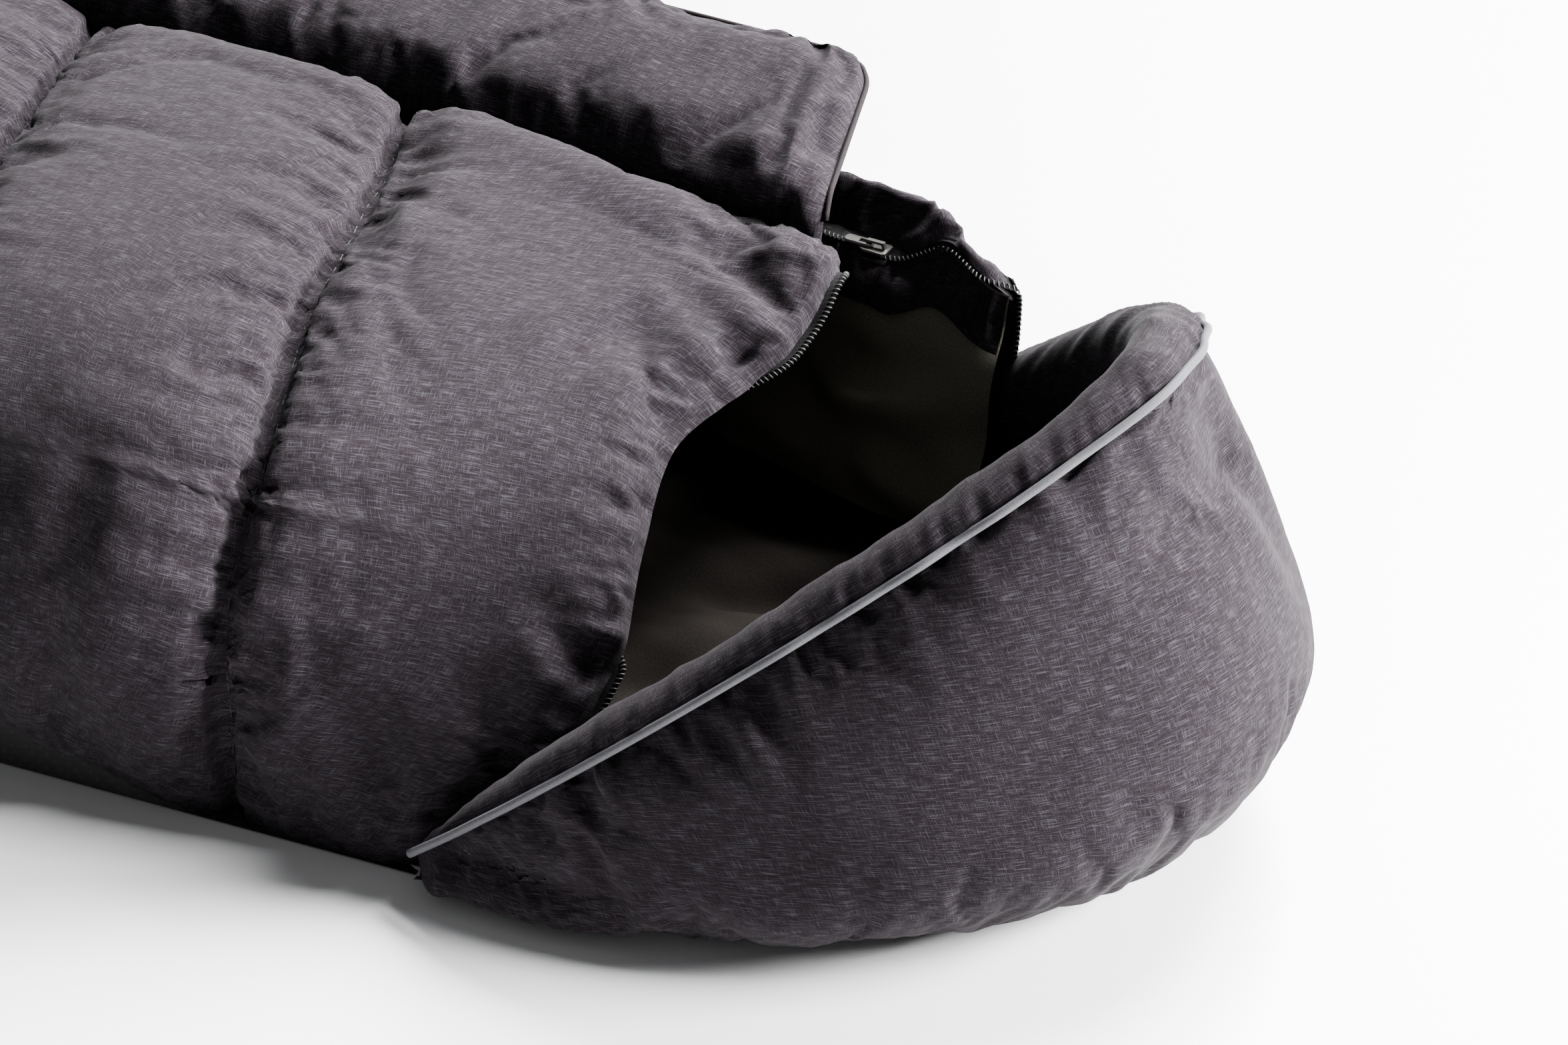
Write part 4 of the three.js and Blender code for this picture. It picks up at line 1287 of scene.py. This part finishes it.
def neck_edge():
    """The neck edge from its far side, tucked under the cloth in its middle, and its inward way."""
    edge = cover_grid[-1, ::-1]
    plain = doubled(cover_base)
    inward = unit(plain[-6, ::-1] - plain[-1, ::-1])
    share = np.linspace(1, 0, len(edge))
    under = smoothstep(share, 0.32, 0.40) * (1 - smoothstep(share, 0.68, 0.77))
    return edge + under[:, None] * (inward * (ZIP_HALF + 12) + [0, 0, -9]), inward


def add_panel_zips():
    """The panel's half of the zip, along its side and neck, and the near wall's short one."""
    head, head_in = neck_edge()
    side = cover_grid[:-3, -1]
    side_in = np.broadcast_to([0.0, -1.0, 0.0], side.shape)
    edge = np.concatenate([side, head[PANEL_STRETCH]])
    inward = np.concatenate([side_in, head_in[PANEL_STRETCH]])
    gap = np.where(np.arange(len(edge)) < len(side), ZIP_HALF, HEAD_GAP)
    zip_along("panel", edge, inward, smoothed(gap, 12), "front_panel")
    zip_along("near", head[NEAR_STRETCH], head_in[NEAR_STRETCH], HEAD_GAP, "bag")


def add_wall_zip():
    """The wall's half of the zip: along its top, along the ear and down the ear's end."""
    top = wall_grid[::-1, -1]
    beside = unit(np.cross(np.gradient(smoothed(top, 20), axis=0), [0, 0, 1.0]))
    on_ear = smoothstep(top[:, 0], SLIDER_X - 4, SLIDER_X + 22)[:, None]
    outward = unit(lerp(-beside, np.array([0, 0.75, 0.65]), on_ear))
    end = wall_grid[0, 6:-6][::-1]
    end_out = np.broadcast_to([-1.0, 0.15, 0.0], end.shape)
    along_top = slice(40, -4)
    edge = np.concatenate([top[along_top], end])
    outward = np.concatenate([outward[along_top], end_out])
    top_gap = lerp(ZIP_HALF, EAR_TOP_GAP, on_ear[along_top, 0])
    gap = np.concatenate([top_gap, np.full(len(end), EAR_END_GAP)])
    zip_along("wall", edge, outward, gap, "bag")


add_panel_zips()
add_wall_zip()


# ---- Pieces: quilting thread ----
def quilting_seam(k):
    """Where one quilting seam runs on the settled cloth."""
    nearest = np.abs(stitch_distance(cover_grid)[k]).argmin(axis=0)
    return cover_grid[nearest, np.arange(cover_grid.shape[1])]


for k in range(STITCH_COUNT):
    seam = even(smoothed(quilting_seam(k), 12), 0.8)
    stitch = 0.2 + 0.3 * (np.arange(len(seam)) % 5 < 4)
    thread = tube(f"quilting_thread_{k + 1}", seam - [0, 0, 0.2], stitch, 5)
    dress(thread, FOLD, "zip_tape", THREAD)

# ---- CAD nodes that stay ----
for name, finish in (("zip_slider", METAL), ("zip_pull", METAL), ("care_label", LABEL)):
    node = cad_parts[name]
    node.data.materials.clear()
    node.data.materials.append(finish)

# ---- Stage: floor, light and camera ----
FLOOR_REACH = 6000
corners = [(x * FLOOR_REACH, y * FLOOR_REACH, 0) for x, y in ((-1, -1), (1, -1), (1, 1), (-1, 1))]
floor = mesh_piece("floor", corners, [[0, 1, 2, 3]])
pale = smooth_stuff("pale_floor", (0.93, 0.93, 0.93), 0.35, scale=5, shade=0.98)
floor.data.materials.append(pale)
world = bpy.data.worlds.new("world")
bpy.context.scene.world = world
world.use_nodes = True
background = world.node_tree.nodes["Background"]
background.inputs["Color"].default_value = (0.97, 0.98, 1, 1)
background.inputs["Strength"].default_value = 0.17


def area_light(name, place, aim, size, power):
    data = bpy.data.lights.new(name, "AREA")
    data.energy = power
    data.size = size
    light = bpy.data.objects.new(name, data)
    bpy.context.scene.collection.objects.link(light)
    light.location = place
    light.rotation_euler = (Vector(place) - Vector(aim)).to_track_quat("Z", "Y").to_euler()


area_light("back_light", (0.2, 1.5, 1.6), (-0.1, 0, 0.1), 1.1, 400)
area_light("side_light", (1.7, 0.62, 0.95), (0, 0, 0.12), 0.7, 370)

CAMERA_AIM = Vector((0, 0, 0.1))
CAMERA_DISTANCE = 1.5
azimuth = math.radians(26)
elevation = math.radians(34)
level = math.cos(elevation)
back = Vector((math.sin(azimuth) * level, -math.cos(azimuth) * level, math.sin(elevation)))
camera = bpy.data.objects.new("camera", bpy.data.cameras.new("camera"))
camera.data.lens = 82.65
camera.data.sensor_width = 36
bpy.context.scene.collection.objects.link(camera)
camera.location = CAMERA_AIM + back * CAMERA_DISTANCE
camera.rotation_euler = back.to_track_quat("Z", "Y").to_euler()
bpy.context.scene.camera = camera
